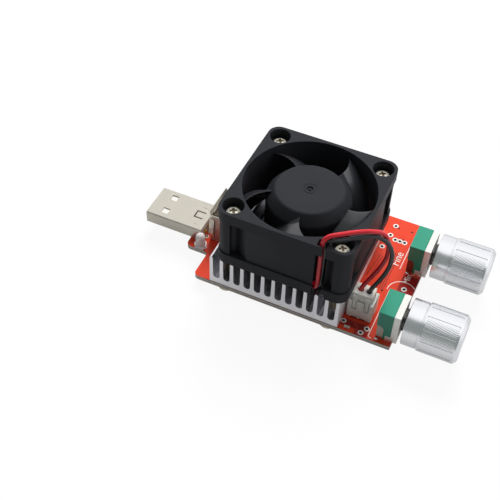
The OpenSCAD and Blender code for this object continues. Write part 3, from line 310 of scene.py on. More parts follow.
def plated_hole():
    """Tinned rims on both faces of the board, and between them a barrel painted dark as the shade inside the
    hole, by height.
    """
    made = Finish("hole_tin")
    rise = (made.axis("Z") - BOARD_UNDER) / (BOARD_TOP - BOARD_UNDER)
    # The barrel between the rims: painted shade inside the hole
    inside = made.ease(rise, 0, 0.08) * (1 - made.ease(rise, 0.92, 1))
    cloud = made.noise(0.6 * MM, 2)
    tin = made.mix(cloud, paint(226, 222, 214), paint(246, 244, 240))
    made.feed(
        Base_Color=made.mix(inside, tin, paint(34, 22, 18)), Metallic=0.5 * (1 - inside),
        Roughness=0.3 + 0.2 * cloud)
    return made


def domed_steel():
    """Screw heads at four corners round the fan's axis, steel on the dome, with painted shade in the recess and
    on the sides below the dome. The depth under the dome is the drop from its top less the square of the
    distance from the screw's axis over twice the dome's radius."""
    made = metal("fan_screw_steel", DOME_STEEL, 0.3, metallic=0.45)
    across, along = (
        abs(made.axis(axis) - float(spot)) - SCREW_SPACING / 2 for axis, spot in zip("XY", FAN_AXIS))
    depth = float(high("fan_screws")[2]) - made.axis("Z") - (across ** 2 + along ** 2) / (2 * DOME_R)
    # Painted shade: darker the deeper under the dome, in the recess and down the head's sides
    recess_shade = made.ease(depth, 0.15 * MM, 0.4 * MM)
    made.feed(Base_Color=made.mix(recess_shade, DOME_STEEL, RECESS_SHADE_STEEL))
    return made


def moulded_impeller():
    """The fan's plastic, matt on the hub and polished on the blades, by the distance from the axis."""
    made = plastic("impeller_plastic", FAN_BLACK, 0.52, grain=FAN_GRAIN, relief=5e-6, **FAN_GLOSS)
    across, along = (made.axis(axis) - float(spot) for axis, spot in zip("XY", FAN_AXIS))
    made.feed(Coat_Weight=made.ease((across ** 2 + along ** 2) ** 0.5, HUB_END, BLADE_ROOT))
    return made


def wound_wire():
    """Copper winding: rows of wire across the coil, by height, painted darker in the crease between turns as
    shade.
    """
    made = Finish("coil_copper", Metallic=1.0)
    # The dark copper in the creases between turns is painted shade
    rows = made.math("SINE", made.axis("Z") * (TURN / WIRE_PITCH), 0) * 0.5 + 0.5
    made.feed(Base_Color=made.mix(rows, paint(120, 52, 22), paint(214, 122, 66)), Roughness=0.3 + 0.2 * rows)
    made.bump(rows, 0.05 * MM)
    return made


FINISH = {made.name: made for made in (
    solder_mask(),
    plastic("pad_white", paint(222, 219, 212), 0.7),
    sawn_aluminium(),
    metal("screw_steel", paint(214, 206, 182), 0.26),
    domed_steel(),
    plastic("fan_plastic", FAN_BLACK, 0.52, grain=FAN_GRAIN, relief=8e-6, **FAN_GLOSS),
    moulded_impeller(),
    metal("bearing_bronze", paint(176, 130, 66), 0.4),
    plastic("circuit_green", paint(24, 92, 54), 0.4),
    metal("core_steel", paint(128, 128, 132), 0.45, lines=(40, 40, 1)),
    wound_wire(),
    metal("shaft_steel", paint(205, 206, 210), 0.22),
    plastic("magnet_black", paint(48, 46, 45), 0.6),
    plastic("lead_red", paint(214, 24, 42), 0.32, relief=2e-6, Coat_Weight=0.2),
    plastic("lead_black", paint(28, 30, 34), 0.34, relief=2e-6, Coat_Weight=0.2),
    plastic(
        "connector_ivory", paint(242, 240, 232), 0.45, spread=0.03, Subsurface_Weight=0.7,
        Subsurface_Radius=(1, 1, 0.9), Subsurface_Scale=1.2 * MM),
    metal("tinned_metal", paint(206, 204, 198), 0.3),
    metal("nickel_shell", paint(202, 197, 185), 0.32, lines=(14, 1, 1), metallic=0.8),
    plastic("tongue_white", paint(236, 234, 228), 0.45, spread=0.04),
    metal("contact_gold", paint(214, 170, 92), 0.25),
    plastic("control_green", paint(36, 144, 116), 0.36, relief=3e-6, spread=0.08),
    metal("cover_metal", paint(238, 237, 232), 0.4, lines=(1, 1, 14), metallic=0.6),
    plastic("terminal_ivory", paint(214, 208, 194), 0.5),
    # The fine control's block: the same ivory plastic, painted dark red as shade and red light off the board
    plastic("terminal_brown", paint(126, 44, 26), 0.5),
    metal("bushing_dark", paint(158, 158, 154), 0.24),
    plastic("insert_black", paint(34, 35, 38), 0.5),
    metal("knob_aluminium", paint(238, 239, 242), 0.24, lines=(0.5, 12, 12), relief=0.4e-6, spread=0.03),
    plastic(
        "lamp_clear", paint(255, 248, 247), 0.12, relief=0.5e-6, spread=0.01,
        Transmission_Weight=0.25, IOR=1.4),
    plastic("chip_black", paint(32, 33, 36), 0.55),
    plastic("resistor_black", paint(28, 28, 31), 0.4),
    plastic("capacitor_tan", paint(186, 176, 166), 0.45),
    metal("solder", paint(206, 206, 208), 0.24),
    plated_hole(),
    plastic("print_white", paint(240, 232, 226), 0.6, spread=0.05),
    plastic("trace_dark", paint(120, 16, 8), 0.4),
    plastic("track_red", paint(190, 38, 14), 0.4),
    plastic("pad_dark", paint(46, 20, 16), 0.7),
)}


# Surfaces

# Angle past which edges stay sharp, distance under which points are one, and limit to a strip's mitre
SHARP, MERGED, MITRE = 38, 2e-7, 1 / 0.3


def patch(points, wrap_rows=False, wrap_cols=False):
    """A grid of points as (points, quads): each quad joins neighbours in two rows and two columns."""
    rows, cols = points.shape[:2]
    index = np.arange(rows * cols).reshape(rows, cols)
    if wrap_rows:
        index = np.vstack([index, index[:1]])
    if wrap_cols:
        index = np.hstack([index, index[:, :1]])
    quads = np.stack([index[:-1, :-1], index[1:, :-1], index[1:, 1:], index[:-1, 1:]], -1)
    return points.reshape(-1, 3), quads.reshape(-1, 4)


def build(name, patches, finish, body="load", stands_for=(), sharp=SHARP):
    """One piece from patches in metres: equal points are merged, faces turn outwards, and edges past `sharp`
    degrees stay sharp. It rides on a body and stands for the solids that it names."""
    starts = np.cumsum([0] + [len(points) for points, _ in patches[:-1]])
    points = np.concatenate([points for points, _ in patches])
    quads = np.concatenate([quads + start for (_, quads), start in zip(patches, starts)])
    mesh = bpy.data.meshes.new(name)
    mesh.vertices.add(len(points))
    mesh.vertices.foreach_set("co", points.astype(np.float32).ravel())
    mesh.loops.add(quads.size)
    mesh.loops.foreach_set("vertex_index", quads.astype(np.int32).ravel())
    mesh.polygons.add(len(quads))
    mesh.polygons.foreach_set("loop_start", np.arange(0, quads.size, 4, dtype=np.int32))
    mesh.update(calc_edges=True)
    work = bmesh.new()
    work.from_mesh(mesh)
    bmesh.ops.remove_doubles(work, verts=work.verts, dist=MERGED)
    bmesh.ops.recalc_face_normals(work, faces=work.faces)
    work.to_mesh(mesh)
    work.free()
    mesh.polygons.foreach_set("use_smooth", np.ones(len(mesh.polygons), bool))
    mesh.set_sharp_from_angle(angle=math.radians(sharp))
    mesh.materials.append(FINISH[finish].material)
    piece = bpy.data.objects.new(name, mesh)
    bpy.context.scene.collection.objects.link(piece)
    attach(piece, body)
    if stands_for:
        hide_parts(*stands_for)
    return piece


def turned(profile, steps):
    """A profile of (radius, height) pairs carried round the Z axis in equal angles: one row per angle."""
    angle = np.linspace(0, TURN, steps, endpoint=False)[:, None]
    radius, height = np.asarray(profile, float).T
    return np.stack([radius * np.cos(angle), radius * np.sin(angle), height + 0 * angle], -1)


def eased(corners, steps=5):
    """A line through (x, y, radius) corners, each rounded by a quadratic curve that starts and ends one
    radius from the corner."""
    corners = np.asarray(corners, float)
    spots, radii = corners[:, :2], corners[:, 2]
    t = np.linspace(0, 1, steps)[:, None]
    line = [spots[:1]]
    for before, here, after, radius in zip(spots[:-2], spots[1:-1], spots[2:], radii[1:-1]):
        start = here + radius * (before - here) / np.linalg.norm(before - here)
        end = here + radius * (after - here) / np.linalg.norm(after - here)
        line.append((1 - t) ** 2 * start + 2 * t * (1 - t) * here + t ** 2 * end if radius else here[None])
    return np.concatenate(line + [spots[-1:]])


def strip(line, width, thick):
    """A flat strip along a line of (x, y) points on the XY plane, from z = 0 to its thickness. Each point moves
    to both sides along the line's mitred normal, and both ends are closed."""
    line = np.asarray(line, float)
    step = np.diff(line, axis=0)
    step /= np.linalg.norm(step, axis=1)[:, None]
    first, last = np.vstack([step[:1], step]), np.vstack([step, step[-1:]])
    along = first + last
    along /= np.linalg.norm(along, axis=1)[:, None]
    reach = width / 2 * np.minimum(1 / np.sum(along * first, 1), MITRE)[:, None]
    side = np.stack([-along[:, 1], along[:, 0]], -1) * reach
    ring = np.stack([line - side, line + side, line + side, line - side], 1)
    heights = np.broadcast_to([0, 0, thick, thick], ring.shape[:2])[..., None]
    ring = np.concatenate([ring, heights], -1)
    return [patch(ring, wrap_cols=True)] + [patch(ring[i][[0, 1, 3, 2]].reshape(2, 2, 3)) for i in (0, -1)]


def placed(patches, spot=(0, 0, 0)):
    """Patches in millimetres moved to a place measured from the datum."""
    return [(from_datum(points + np.asarray(spot, float)), quads) for points, quads in patches]


def pillow(centre, size, power=0.3, rows=14, cols=28):
    """A box with rounded edges: a sphere's sine and cosine are raised to a power that keeps their sign. Power 1
    is an ellipsoid and a small power is nearly a box."""
    up = np.linspace(-math.pi / 2, math.pi / 2, rows)[:, None]
    turn = np.linspace(0, TURN, cols, endpoint=False)[None]

    def bent(value):
        return np.sign(value) * np.abs(value) ** power

    ball = np.stack([
        bent(np.cos(up)) * bent(np.cos(turn)), bent(np.cos(up)) * bent(np.sin(turn)),
        bent(np.sin(up)) + 0 * turn], -1)
    return placed([patch(ball * np.asarray(size) / 2, wrap_cols=True)], centre)


def pillows(centres, size, power):
    """Rounded boxes of one size at several places."""
    return [part for centre in centres for part in pillow(centre, size, power)]


def strips(lines, width, thick, z):
    """Flat strips of one width along several lines, from a height over the board's top face."""
    return [part for line in lines for part in placed(strip(line, width, thick), (0, 0, z))]


# The fan's two leads

LEAD_D = 1.3 * MM
RED_ROUTE = [
    (5.6, -10.64, 11.5), (6.74, -12.53, 11.5), (7.98, -14.6, 11.5), (8.95, -16.21, 11.5), (10.21, -18.12, 12.3),
    (10.78, -18.6, 13.9), (10.99, -18.65, 16), (10.99, -18.65, 19.7), (10.99, -18.65, 24.7),
    (10.99, -18.65, 28), (11.05, -18.68, 30.4), (11.4, -18.4, 32.05), (12.35, -17.6, 33.1), (14, -16.5, 33.45),
    (16.1, -14.9, 33.45), (18.5, -13.05, 33.35), (20.8, -11.4, 33.1), (22.4, -10.15, 32.55),
    (23.8, -8.85, 31.65), (25.05, -7.75, 29.93), (25.95, -7.2, 27.36), (26.3, -6.95, 24.57),
    (26.35, -7.05, 21.85), (25.85, -7.6, 19.35), (24.45, -8.7, 15.72), (22.95, -9.9, 12.77),
    (21.95, -10.82, 10.72), (21.65, -11.1, 9.13), (21.65, -11.1, 8)]
BLACK_ROUTE = [
    (6.76, -9.94, 11.5), (7.9, -11.83, 11.5), (9.14, -13.9, 11.5), (10.21, -15.68, 11.5), (11.23, -17.03, 12.4),
    (11.57, -17.28, 14.1), (11.57, -17.28, 16.5), (11.57, -17.28, 19.7), (11.57, -17.28, 24.7),
    (11.51, -17.32, 27.7), (11.48, -17.34, 29.7), (11.95, -17.4, 31.2), (12.8, -17.5, 31.85),
    (14.3, -17.15, 32.05), (16.9, -15.05, 31.7), (19.7, -12.8, 31.6), (22.87, -10.2, 31), (24.6, -9.2, 29.75),
    (26.15, -8.6, 28.25), (27.35, -8.2, 25.82), (27.92, -8.3, 23.32), (27.9, -8.7, 20.35), (27.17, -9.3, 17.19),
    (25.89, -10.1, 13.9), (24.55, -10.85, 10.95), (24.15, -11.1, 9.25), (24.15, -11.1, 8)]


def flowing(route, steps=8):
    """A smooth line through a route's points: between two points, a cubic that leaves and arrives along the
    direction from each point's neighbour before to its neighbour after. It keeps inside the points' box."""
    route = np.asarray(route, float)
    whole = np.vstack([2 * route[0] - route[1], route, 2 * route[-1] - route[-2]])
    p0, p1, p2, p3 = (whole[i:len(whole) - 3 + i, None] for i in range(4))
    t = np.linspace(0, 1, steps, endpoint=False)[None, :, None]
    line = 0.5 * (
        2 * p1 + (p2 - p0) * t + (2 * p0 - 5 * p1 + 4 * p2 - p3) * t ** 2
        + (3 * p1 - p0 - 3 * p2 + p3) * t ** 3)
    return np.clip(np.vstack([line.reshape(-1, 3), route[-1:]]), route.min(0), route.max(0))


def lay_lead(name, route, finish, node):
    """A lead as one open spline with a round section, from the motor to its contact."""
    points = from_datum(flowing(route))
    curve = bpy.data.curves.new(name, "CURVE")
    curve.dimensions = "3D"
    curve.bevel_depth = LEAD_D / 2
    curve.bevel_resolution = 5
    curve.use_fill_caps = True
    spline = curve.splines.new("POLY")
    spline.points.add(len(points) - 1)
    spline.points.foreach_set("co", np.hstack([points, np.ones((len(points), 1))]).astype(np.float32).ravel())
    spline.use_smooth = True
    curve.materials.append(FINISH[finish].material)
    lead = bpy.data.objects.new(name, curve)
    bpy.context.scene.collection.objects.link(lead)
    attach(lead, "load")
    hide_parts(node)
    return lead


lay_lead("red_lead", RED_ROUTE, "lead_red", "fan_lead_red")
lay_lead("black_lead", BLACK_ROUTE, "lead_black", "fan_lead_black")


# Fan

# Heights are measured from the frame's foot, and radii from the axis
HUB_FOOT, HUB_TOP, HUB_SLOPE = 3.0, 19.2, 3.2
HUB_FOOT_R, HUB_TOP_R = 12.3, 9.75
CUP_R, CUP_TOP = 11.5, 16.0
BLADES, BLADE_START = 5, 134
BLADE_TOP, BLADE_RISE = 18.2, 15.0
BLADE_WRAP, BLADE_SWEEP = math.radians(56), math.radians(12)
BLADE_T, TIP_R = 1.1, 18.4


def hub_radius(z):
    """The hub widens evenly down its sloping shoulder and is straight below that."""
    return HUB_TOP_R + (HUB_FOOT_R - HUB_TOP_R) * np.minimum(1, (HUB_TOP - z) / HUB_SLOPE)


def fan_hub():
    """A profile carried round the axis: the inside of the cup, the wall, the sloping shoulder, the top edge,
    the faintly dished top with a moulded ring, and the dimple with the gate's stub in its middle."""
    edge_z = HUB_TOP - 0.3
    line = eased([
        (0, CUP_TOP, 0), (CUP_R, CUP_TOP, 0.3), (CUP_R, HUB_FOOT, 0), (HUB_FOOT_R - 0.25, HUB_FOOT, 0),
        (HUB_FOOT_R, HUB_FOOT + 0.25, 0), (HUB_FOOT_R, CUP_TOP, 0.5), (hub_radius(edge_z), edge_z, 0.15),
        (HUB_TOP_R - 0.2, HUB_TOP, 0.2),
        (2.1, HUB_TOP - 0.03, 0.1), (1.95, HUB_TOP - 0.16, 0.06), (1.75, HUB_TOP - 0.16, 0.06),
        (1.6, HUB_TOP - 0.02, 0.08), (1.1, HUB_TOP - 0.02, 0.1), (0.85, HUB_TOP - 0.5, 0.1),
        (0.36, HUB_TOP - 0.5, 0.06), (0.3, HUB_TOP - 0.22, 0.08), (0, HUB_TOP - 0.2, 0)], 5)
    return patch(turned(line, 128), wrap_rows=True)


def fan_blades():
    """Each blade is a closed loop of points from leading to trailing edge and back, carried from root to tip.
    The height falls along a curled line, the angle runs back by the wrap and forward by the sweep towards the
    tip, and the thickness is a sine arch that flares where the root meets the hub."""
    s = np.linspace(0, 1, 26)[:, None] ** 1.3
    turn = np.linspace(0, TURN, 72, endpoint=False)[None]
    t = 0.5 - 0.5 * np.cos(turn)
    z = BLADE_TOP - BLADE_RISE * (0.75 * t + 0.25 * t * t)
    root = hub_radius(z) - 0.25
    r = root + (TIP_R - root) * s
    slope = np.arctan2(BLADE_RISE, r * BLADE_WRAP)
    flare = 0.55 * np.exp(-(r - root) / 0.45)
    half = np.sin(turn) * BLADE_T / 2 * (0.45 + 0.55 * np.sin(math.pi * t)) + np.sin(turn) * flare
    angle = BLADE_SWEEP * s * s - BLADE_WRAP * t - half * np.sin(slope) / r
    height = np.clip(z + half * np.cos(slope), HUB_FOOT + 0.1, BLADE_TOP + 0.4)
    patches = []
    for k in range(BLADES):
        a = angle + math.radians(BLADE_START + 360 / BLADES * k)
        grid = np.stack([r * np.cos(a), r * np.sin(a), height], -1)
        ends = [np.stack([grid[i], np.broadcast_to(grid[i].mean(0), grid[i].shape)]) for i in (0, -1)]
        patches += [patch(grid, wrap_cols=True)] + [patch(end, wrap_cols=True) for end in ends]
    return patches


build(
    "impeller", placed([fan_hub()] + fan_blades(), (0, 0, (FAN_FOOT - BOARD_TOP) / MM)), "impeller_plastic",
    "fan_rotor", stands_for=["fan_impeller"], sharp=50)


# Controls

# Furrows and grooves round a knob's grip, with the furrows' slant against the axis
KNURLS, KNURL_DEPTH, KNURL_SLANT = 80, 0.055, 0.9
GROOVES, GROOVE_W, GROOVE_DEPTH = 12, 0.5, 0.3
SECTOR = 360 / GROOVES
# A knob from its back: its bore, the smooth ring and the seam before the grip, with how far both are under the
# grip's radius, the thickness of its front and the chamfer round it
BORE_R, RING_L, SEAM_END, RING_UNDER, SEAM_UNDER = 5.5, 4.3, 4.6, 0.3, 0.65
FRONT_T, CHAMFER = 1.6, 1.0
# A bushing's bore and thread
BUSH_BORE_R, THREAD_PITCH, THREAD_DEPTH, THREAD_RUN = 3.05, 0.75, 0.42, 0.4


def ramp(value, start, end):
    """0 before start, 1 past end, and a straight ramp between them."""
    return np.clip((value - start) / (end - start), 0, 1)


def knob_skin(node):
    """A knob as a radius over its length and angle. The length carries the lathe profile: bore, smooth ring,
    seam, grip, chamfer and turned front. On the grip the radius loses straight grooves and, between them,
    slanting furrows, a sine of the angle and the length together."""
    back = low(node)[0]
    length = (high(node)[0] - back) / MM
    grip_r = (high(node)[1] - low(node)[1]) / 2 / MM
    ring_r, seam_r, floor = grip_r - RING_UNDER, grip_r - SEAM_UNDER, length - FRONT_T
    rear = eased([
        (floor, 0, 0), (floor, BORE_R, 0), (0, BORE_R, 0), (0, ring_r, 0.2), (RING_L, ring_r, 0.12),
        (RING_L, seam_r, 0), (SEAM_END, seam_r, 0), (SEAM_END, grip_r, 0.1), (SEAM_END + 0.3, grip_r, 0)], 4)
    grip_x = np.linspace(SEAM_END + 0.35, length - CHAMFER - 0.2, 124)
    grip = np.stack([grip_x, np.full_like(grip_x, grip_r)], -1)
    front = eased([
        (length - CHAMFER - 0.1, grip_r, 0), (length - CHAMFER, grip_r, 0.08),
        (length, grip_r - CHAMFER, 0.12), (length, grip_r - 1.7, 0.1), (length - 0.25, grip_r - 1.9, 0.1),
        (length - 0.25, 0.5, 0.1), (length - 0.35, 0, 0)], 4)
    x, radius = np.concatenate([rear, grip, front]).T[:, :, None]
    half = math.degrees(GROOVE_W / 2 / grip_r)
    sector = np.concatenate([
        [-half - 0.1, -half + 0.1, 0, half - 0.1], np.linspace(half + 0.1, SECTOR - 0.1 - half, 36)])
    angle = np.radians((sector[None] + SECTOR * (np.arange(GROOVES)[:, None] + 0.5)).ravel())[None]
    gripped = ramp(x, SEAM_END + 0.6, SEAM_END + 0.7) * ramp(length - CHAMFER - x, 0.6, 0.7)
    across = np.abs((np.degrees(angle) % SECTOR) - SECTOR / 2)
    groove = 1 - ramp(across, half - 0.12, half + 0.12)
    furrow = 0.5 + 0.5 * np.sin(KNURLS * (angle + KNURL_SLANT * x / grip_r))
    clear = ramp(across, half + 0.3, half + 1.2)
    radius = radius - gripped * (GROOVE_DEPTH * groove + KNURL_DEPTH * clear * furrow)
    places = np.stack([x + 0 * angle, radius * np.cos(angle), radius * np.sin(angle)], -1)
    return [(places.reshape(-1, 3) * MM + [back, *middle(node)[1:]], patch(places, wrap_cols=True)[1])]


def threaded(node):
    """A bushing as a radius over its length and angle: a thread, which is a triangle wave of the length less
    the turn, and a plain bore, which is the first row and the last two. The thread starts past a plain collar,
    and its front edge is chamfered."""
    back, end = low(node)[0], high(node)[0]
    length = (end - back) / MM
    outer = (high(node)[1] - low(node)[1]) / 2 / MM
    x = np.concatenate([[0, 0], np.linspace(0, length, 86), [length, 0]])[:, None]
    angle = np.linspace(0, TURN, 72, endpoint=False)[None]
    wave = np.abs(2 * ((x / THREAD_PITCH - angle / TURN) % 1) - 1)
    thread = outer - THREAD_DEPTH * wave * ramp(x, 0.5, 0.6)
    thread -= THREAD_RUN * (1 - ramp(length - x, 0, THREAD_RUN))
    inside = np.zeros_like(x, bool)
    inside[[0, -2, -1]] = True
    radius = np.where(inside, BUSH_BORE_R, thread)
    places = np.stack([x + 0 * angle, radius * np.cos(angle), radius * np.sin(angle)], -1)
    return [(places.reshape(-1, 3) * MM + [back, *middle(node)[1:]],
             patch(places, wrap_rows=True, wrap_cols=True)[1])]


for control in ("coarse", "fine"):
    build(
        f"{control}_grip", knob_skin(f"{control}_knob"), "knob_aluminium", f"{control}_control",
        stands_for=[f"{control}_knob"], sharp=60)
    build(
        f"{control}_thread", threaded(f"{control}_bushing"), "bushing_dark",
        stands_for=[f"{control}_bushing"], sharp=50)


# Board: plated holes, solder, printed lines and the gaps between its copper areas

# Holes with nothing in them, their radius, the gap round a lead in its hole, and the rims of both
SPARE_HOLES = [
    (19.4, -16.3), (26.5, -16.3), (25.3, -18.3), (31.4, 2.25), (19.8, 15.8), (20.9, 25.9), (20.6, 21.5),
    (22.6, 20.2), (24.1, 20.2), (25.6, 20.2)]
SPARE_R, LEAD_GAP = 0.5, 0.15
SPARE_RIM, LEAD_RIM = 0.36, 0.3
# The lamp's two leads
LAMP_X, LAMP_Y = (-31.6, -29.2), -8.4
# Leads through the board, each with its place and its size along X and Y: those of the controls, the plug,
# the socket, the header and the lamp
LEADS = np.array(
    [(30.45, y, 0.64, 0.64) for y in (-15.6, -13.1, -10.6, 11.5, 14, 16.5)]
    + [(32.9, y, 1.6, 0.5) for y in (-17.55, -8.65, 9.55, 18.45)]
    + [(-30.7, y, 0.3, 0.9) for y in (-4.1, -1.6, 0.4, 2.9)] + [(-33.5, y, 1.6, 0.3) for y in (-6.45, 5.25)]
    + [(-25.8, y, 0.3, 0.9) for y in (-1.5, 1, 3, 5.5)] + [(-26.4, y, 2, 0.3) for y in (-4.4, 8.4)]
    + [(x, -11.1, 0.64, 0.64) for x in (21.65, 24.15)] + [(x, LAMP_Y, 0.64, 0.64) for x in LAMP_X])
LEAD_HOLE_R = np.hypot(LEADS[:, 2], LEADS[:, 3]) / 2 + LEAD_GAP
# Flat tabs are wider than a pin
TABS = LEADS[:, 2:].max(1) > 1


def eyelets(spots, hole_r, rim, plate=0.035):
    """Plated holes: a C-shaped profile carried round each hole's axis, a rim on both faces and a barrel."""
    for (x, y), r in zip(spots, hole_r):
        profile = [
            (r - plate, plate), (r + rim, plate), (r + rim, -plate), (r, -plate), (r, plate - BOARD_T),
            (r + rim, plate - BOARD_T), (r + rim, -plate - BOARD_T), (r - plate, -plate - BOARD_T)]
        yield from placed([patch(turned(profile, 32), wrap_rows=True, wrap_cols=True)], (x, y, 0))


def fillets(leads, height=1.0, wick=0.16):
    """Solder round each lead: under the board the radius shrinks from the pad to the lead by a hollow curve,
    the square of what is left of the height. It fills the hole and ends at its wick, over or under the top."""
    t = np.linspace(0, 1, 10)
    for x, y, w, d in leads:
        lead_r = math.hypot(w, d) / 2
        tip, foot = lead_r + 0.07, lead_r + LEAD_GAP + 0.3
        hollow = tip + (foot - tip) * (1 - t) ** 2
        under = np.stack([hollow, -BOARD_T - height * t], -1)
        above = np.stack([tip + 0.8 * (hollow - tip), wick * t], -1)[::-1]
        closed = np.vstack([[(0.02, wick)], above, under, [(0.02, -BOARD_T - height)]])
        yield from placed([patch(turned(closed, 28), wrap_rows=True, wrap_cols=True)], (x, y, 0))


build(
    "spare_eyelets", list(eyelets(SPARE_HOLES, [SPARE_R] * len(SPARE_HOLES), SPARE_RIM)), "hole_tin")
build(
    "lead_eyelets", list(eyelets(LEADS[~TABS, :2], LEAD_HOLE_R[~TABS], LEAD_RIM)), "hole_tin")
build(
    "solder_fillets", list(fillets(LEADS[~TABS])) + list(fillets(LEADS[TABS], wick=-0.3)), "solder",
    stands_for=["solder_joints"])
build("tab_collars", [
    part for (x, y, *_), r in zip(LEADS[TABS], LEAD_HOLE_R[TABS])
    for part in pillow((x, y, 0), (2 * (r + LEAD_RIM), 2 * (r + LEAD_RIM), 0.06), 1)], "board_red")

# Printed lines with one arc, gaps between copper areas, and a raised track. All start a little inside the board.
ARC_SPOT, ARC_R = np.array([31.1, 0.7]), 4.3
ARC = np.radians(np.linspace(186, 42, 40))[:, None]
PRINTED = [
    [(27.6, 0.3), (27.6, -18.5), (28.6, -18.9)], [(27.7, 29.2), (27.7, 9.4)], [(31.6, 8.74), (34.4, 9.28)],
    ARC_SPOT + ARC_R * np.hstack([np.cos(ARC), np.sin(ARC)]),
]
GAPS = [
    [(24.5, 15), (24.5, -0.5)], [(25.1, 15), (25.1, -0.5)], [(25.7, 15), (25.7, -0.5)],
    [(19.43, 2.71), (20.56, 12.39)], [(20.44, 2.91), (21.38, 12.18)],
]
TRACKS = [[(22.1, -15.2), (24, -17), (24, -19.2)]]
SUNK = -0.02
build("printed_lines", strips(PRINTED, 0.24, 0.045, SUNK), "print_white")
build("copper_gaps", strips(GAPS, 0.2, 0.035, SUNK), "trace_dark")
build("tracks", strips(TRACKS, 0.3, 0.04, SUNK), "track_red")

# Words by the fine control, each with its place and the height of its letters
CAPTIONS = [("Fine", (26.9, 10.1), 3.5), ("Min", (31.9, 4.6), 2.6)]


def caption(word, spot, size, rise=0.03):
    """A printed word beside a control. It reads along Y, and its letters stand a hair above the board."""
    text = bpy.data.curves.new(word, "FONT")
    text.body, text.size, text.extrude = word, size * MM, rise / 2 * MM
    shape = bpy.data.objects.new(word, text)
    bpy.context.scene.collection.objects.link(shape)
    bpy.context.view_layer.update()
    mesh = bpy.data.meshes.new_from_object(shape.evaluated_get(bpy.context.evaluated_depsgraph_get()))
    bpy.data.objects.remove(shape)
    flat = np.empty(3 * len(mesh.vertices), np.float32)
    mesh.vertices.foreach_get("co", flat)
    along, up, out = flat.reshape(-1, 3).T
    places = from_datum((*spot, rise / 4)) + np.stack([-up, along, out], -1)
    mesh.vertices.foreach_set("co", places.astype(np.float32).ravel())
    mesh.materials.clear()
    mesh.materials.append(FINISH["print_white"].material)
    piece = bpy.data.objects.new(f"caption_{word.lower()}", mesh)
    bpy.context.scene.collection.objects.link(piece)
    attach(piece, "load")


for word, spot, size in CAPTIONS:
    caption(word, spot, size)


# Small pieces on the connectors, the lamp and the chips

# The small chips: their size, the length of their metal ends and their places, all but one under the board
CHIP_L, CHIP_W, CHIP_H, CHIP_END = 1.6, 0.8, 0.6, 0.42
UNDER_CHIP = -BOARD_T - CHIP_H / 2
CHIPS = (
    [(4.37 + 2.2 * i, -0.5, UNDER_CHIP) for i in range(4)]
    + [(-11.13 + 3 * i, -1.5, UNDER_CHIP) for i in range(2)]
    + [(5.17 + 2.2 * i, -10.5, UNDER_CHIP) for i in range(3)] + [(21.1, -18.3, CHIP_H / 2)])
# The plug's top and its latch, the board's dark vias, and the header's front face
SHELL_TOP = (high("usb_plug_shell")[2] - BOARD_TOP) / MM
LATCH = [(-33, 0.7), (-35.8, 0.7), (-35.8, -1.9), (-33, -1.9)]
VIAS = [(22, 25.4), (26.3, 25.5), (25.6, -0.85), (22.5, 20.9), (24.9, 21.2), (29.6, 24.6)]
HEADER_FRONT = (low("header")[1] - DATUM[1]) / MM
build(
    "chip_ends",
    pillows(
        [(x + side * (CHIP_L / 2 - 0.17), y, z) for x, y, z in CHIPS for side in (-1, 1)],
        (CHIP_END, CHIP_W + 0.06, CHIP_H + 0.05), 0.22),
    "tinned_metal")
build(
    "shell_dimples", pillows([(-34.4, 2.96, SHELL_TOP), (-34.1, -4.35, SHELL_TOP)], (1.5, 0.8, 0.24), 1),
    "nickel_shell")
# A dark strip round the plug's latch: painted shade in the gap round the tab
build("latch_gap_shade", strips([LATCH], 0.4, 0.15, SHELL_TOP - 0.25), "pad_dark")
build("dark_vias", pillows([(x, y, 0) for x, y in VIAS], (0.8, 0.6, 0.06), 1), "pad_dark")
build("pin_solder", pillows([(29.9, -18.4, 0.1), (30.2, 8.7, 0.1)], (1.2, 0.8, 0.5), 0.8), "solder")
# Thin dark sheets on the header's front, at its foot by the two leads: painted shade in the gaps there
build(
    "header_gap_shade", pillows([(x, HEADER_FRONT, 0.2) for x in (21.6, 24.1)], (1.8, 0.06, 0.36), 0.3), "pad_dark")


# The lamp's posts, each with its place, its width and how far it leans for each millimetre of rise
POSTS = [(LAMP_X[0], 0.62, 0.55), (LAMP_X[1], 0.5, -0.65)]
CUP_X = -31.05


def lamp_frame():
    """The two leaning posts inside the lamp, each of three rounded blocks, and the cup on one of them: a cone's
    profile carried round its axis."""
    for x, wide, lean in POSTS:
        for z, shift in ((1.0, 0.0), (1.7, 0.4), (2.4, 0.8)):
            yield from pillow((x + lean * shift, LAMP_Y, z), (wide, 0.42, 0.95), 0.3)
    cup = [(0, 2.6), (0.22, 2.6), (0.5, 3.1), (0.42, 3.1), (0.2, 2.75), (0, 2.75)]
    yield from placed([patch(turned(cup, 24), wrap_rows=True)], (CUP_X, LAMP_Y, 0))


build("lamp_frame", list(lamp_frame()), "tinned_metal")

# The socket's springs: their bow, their thickness and their places on its front end and its left wall
SOCKET_END, END_BOW, END_SPRING_T, END_SPRING_X = -4.55, 0.55, 0.2, -29.1
WALL_BOW, WALL_SPRING_T, WALL_SPRINGS = 0.75, 0.22, (-2.4, 4.4)


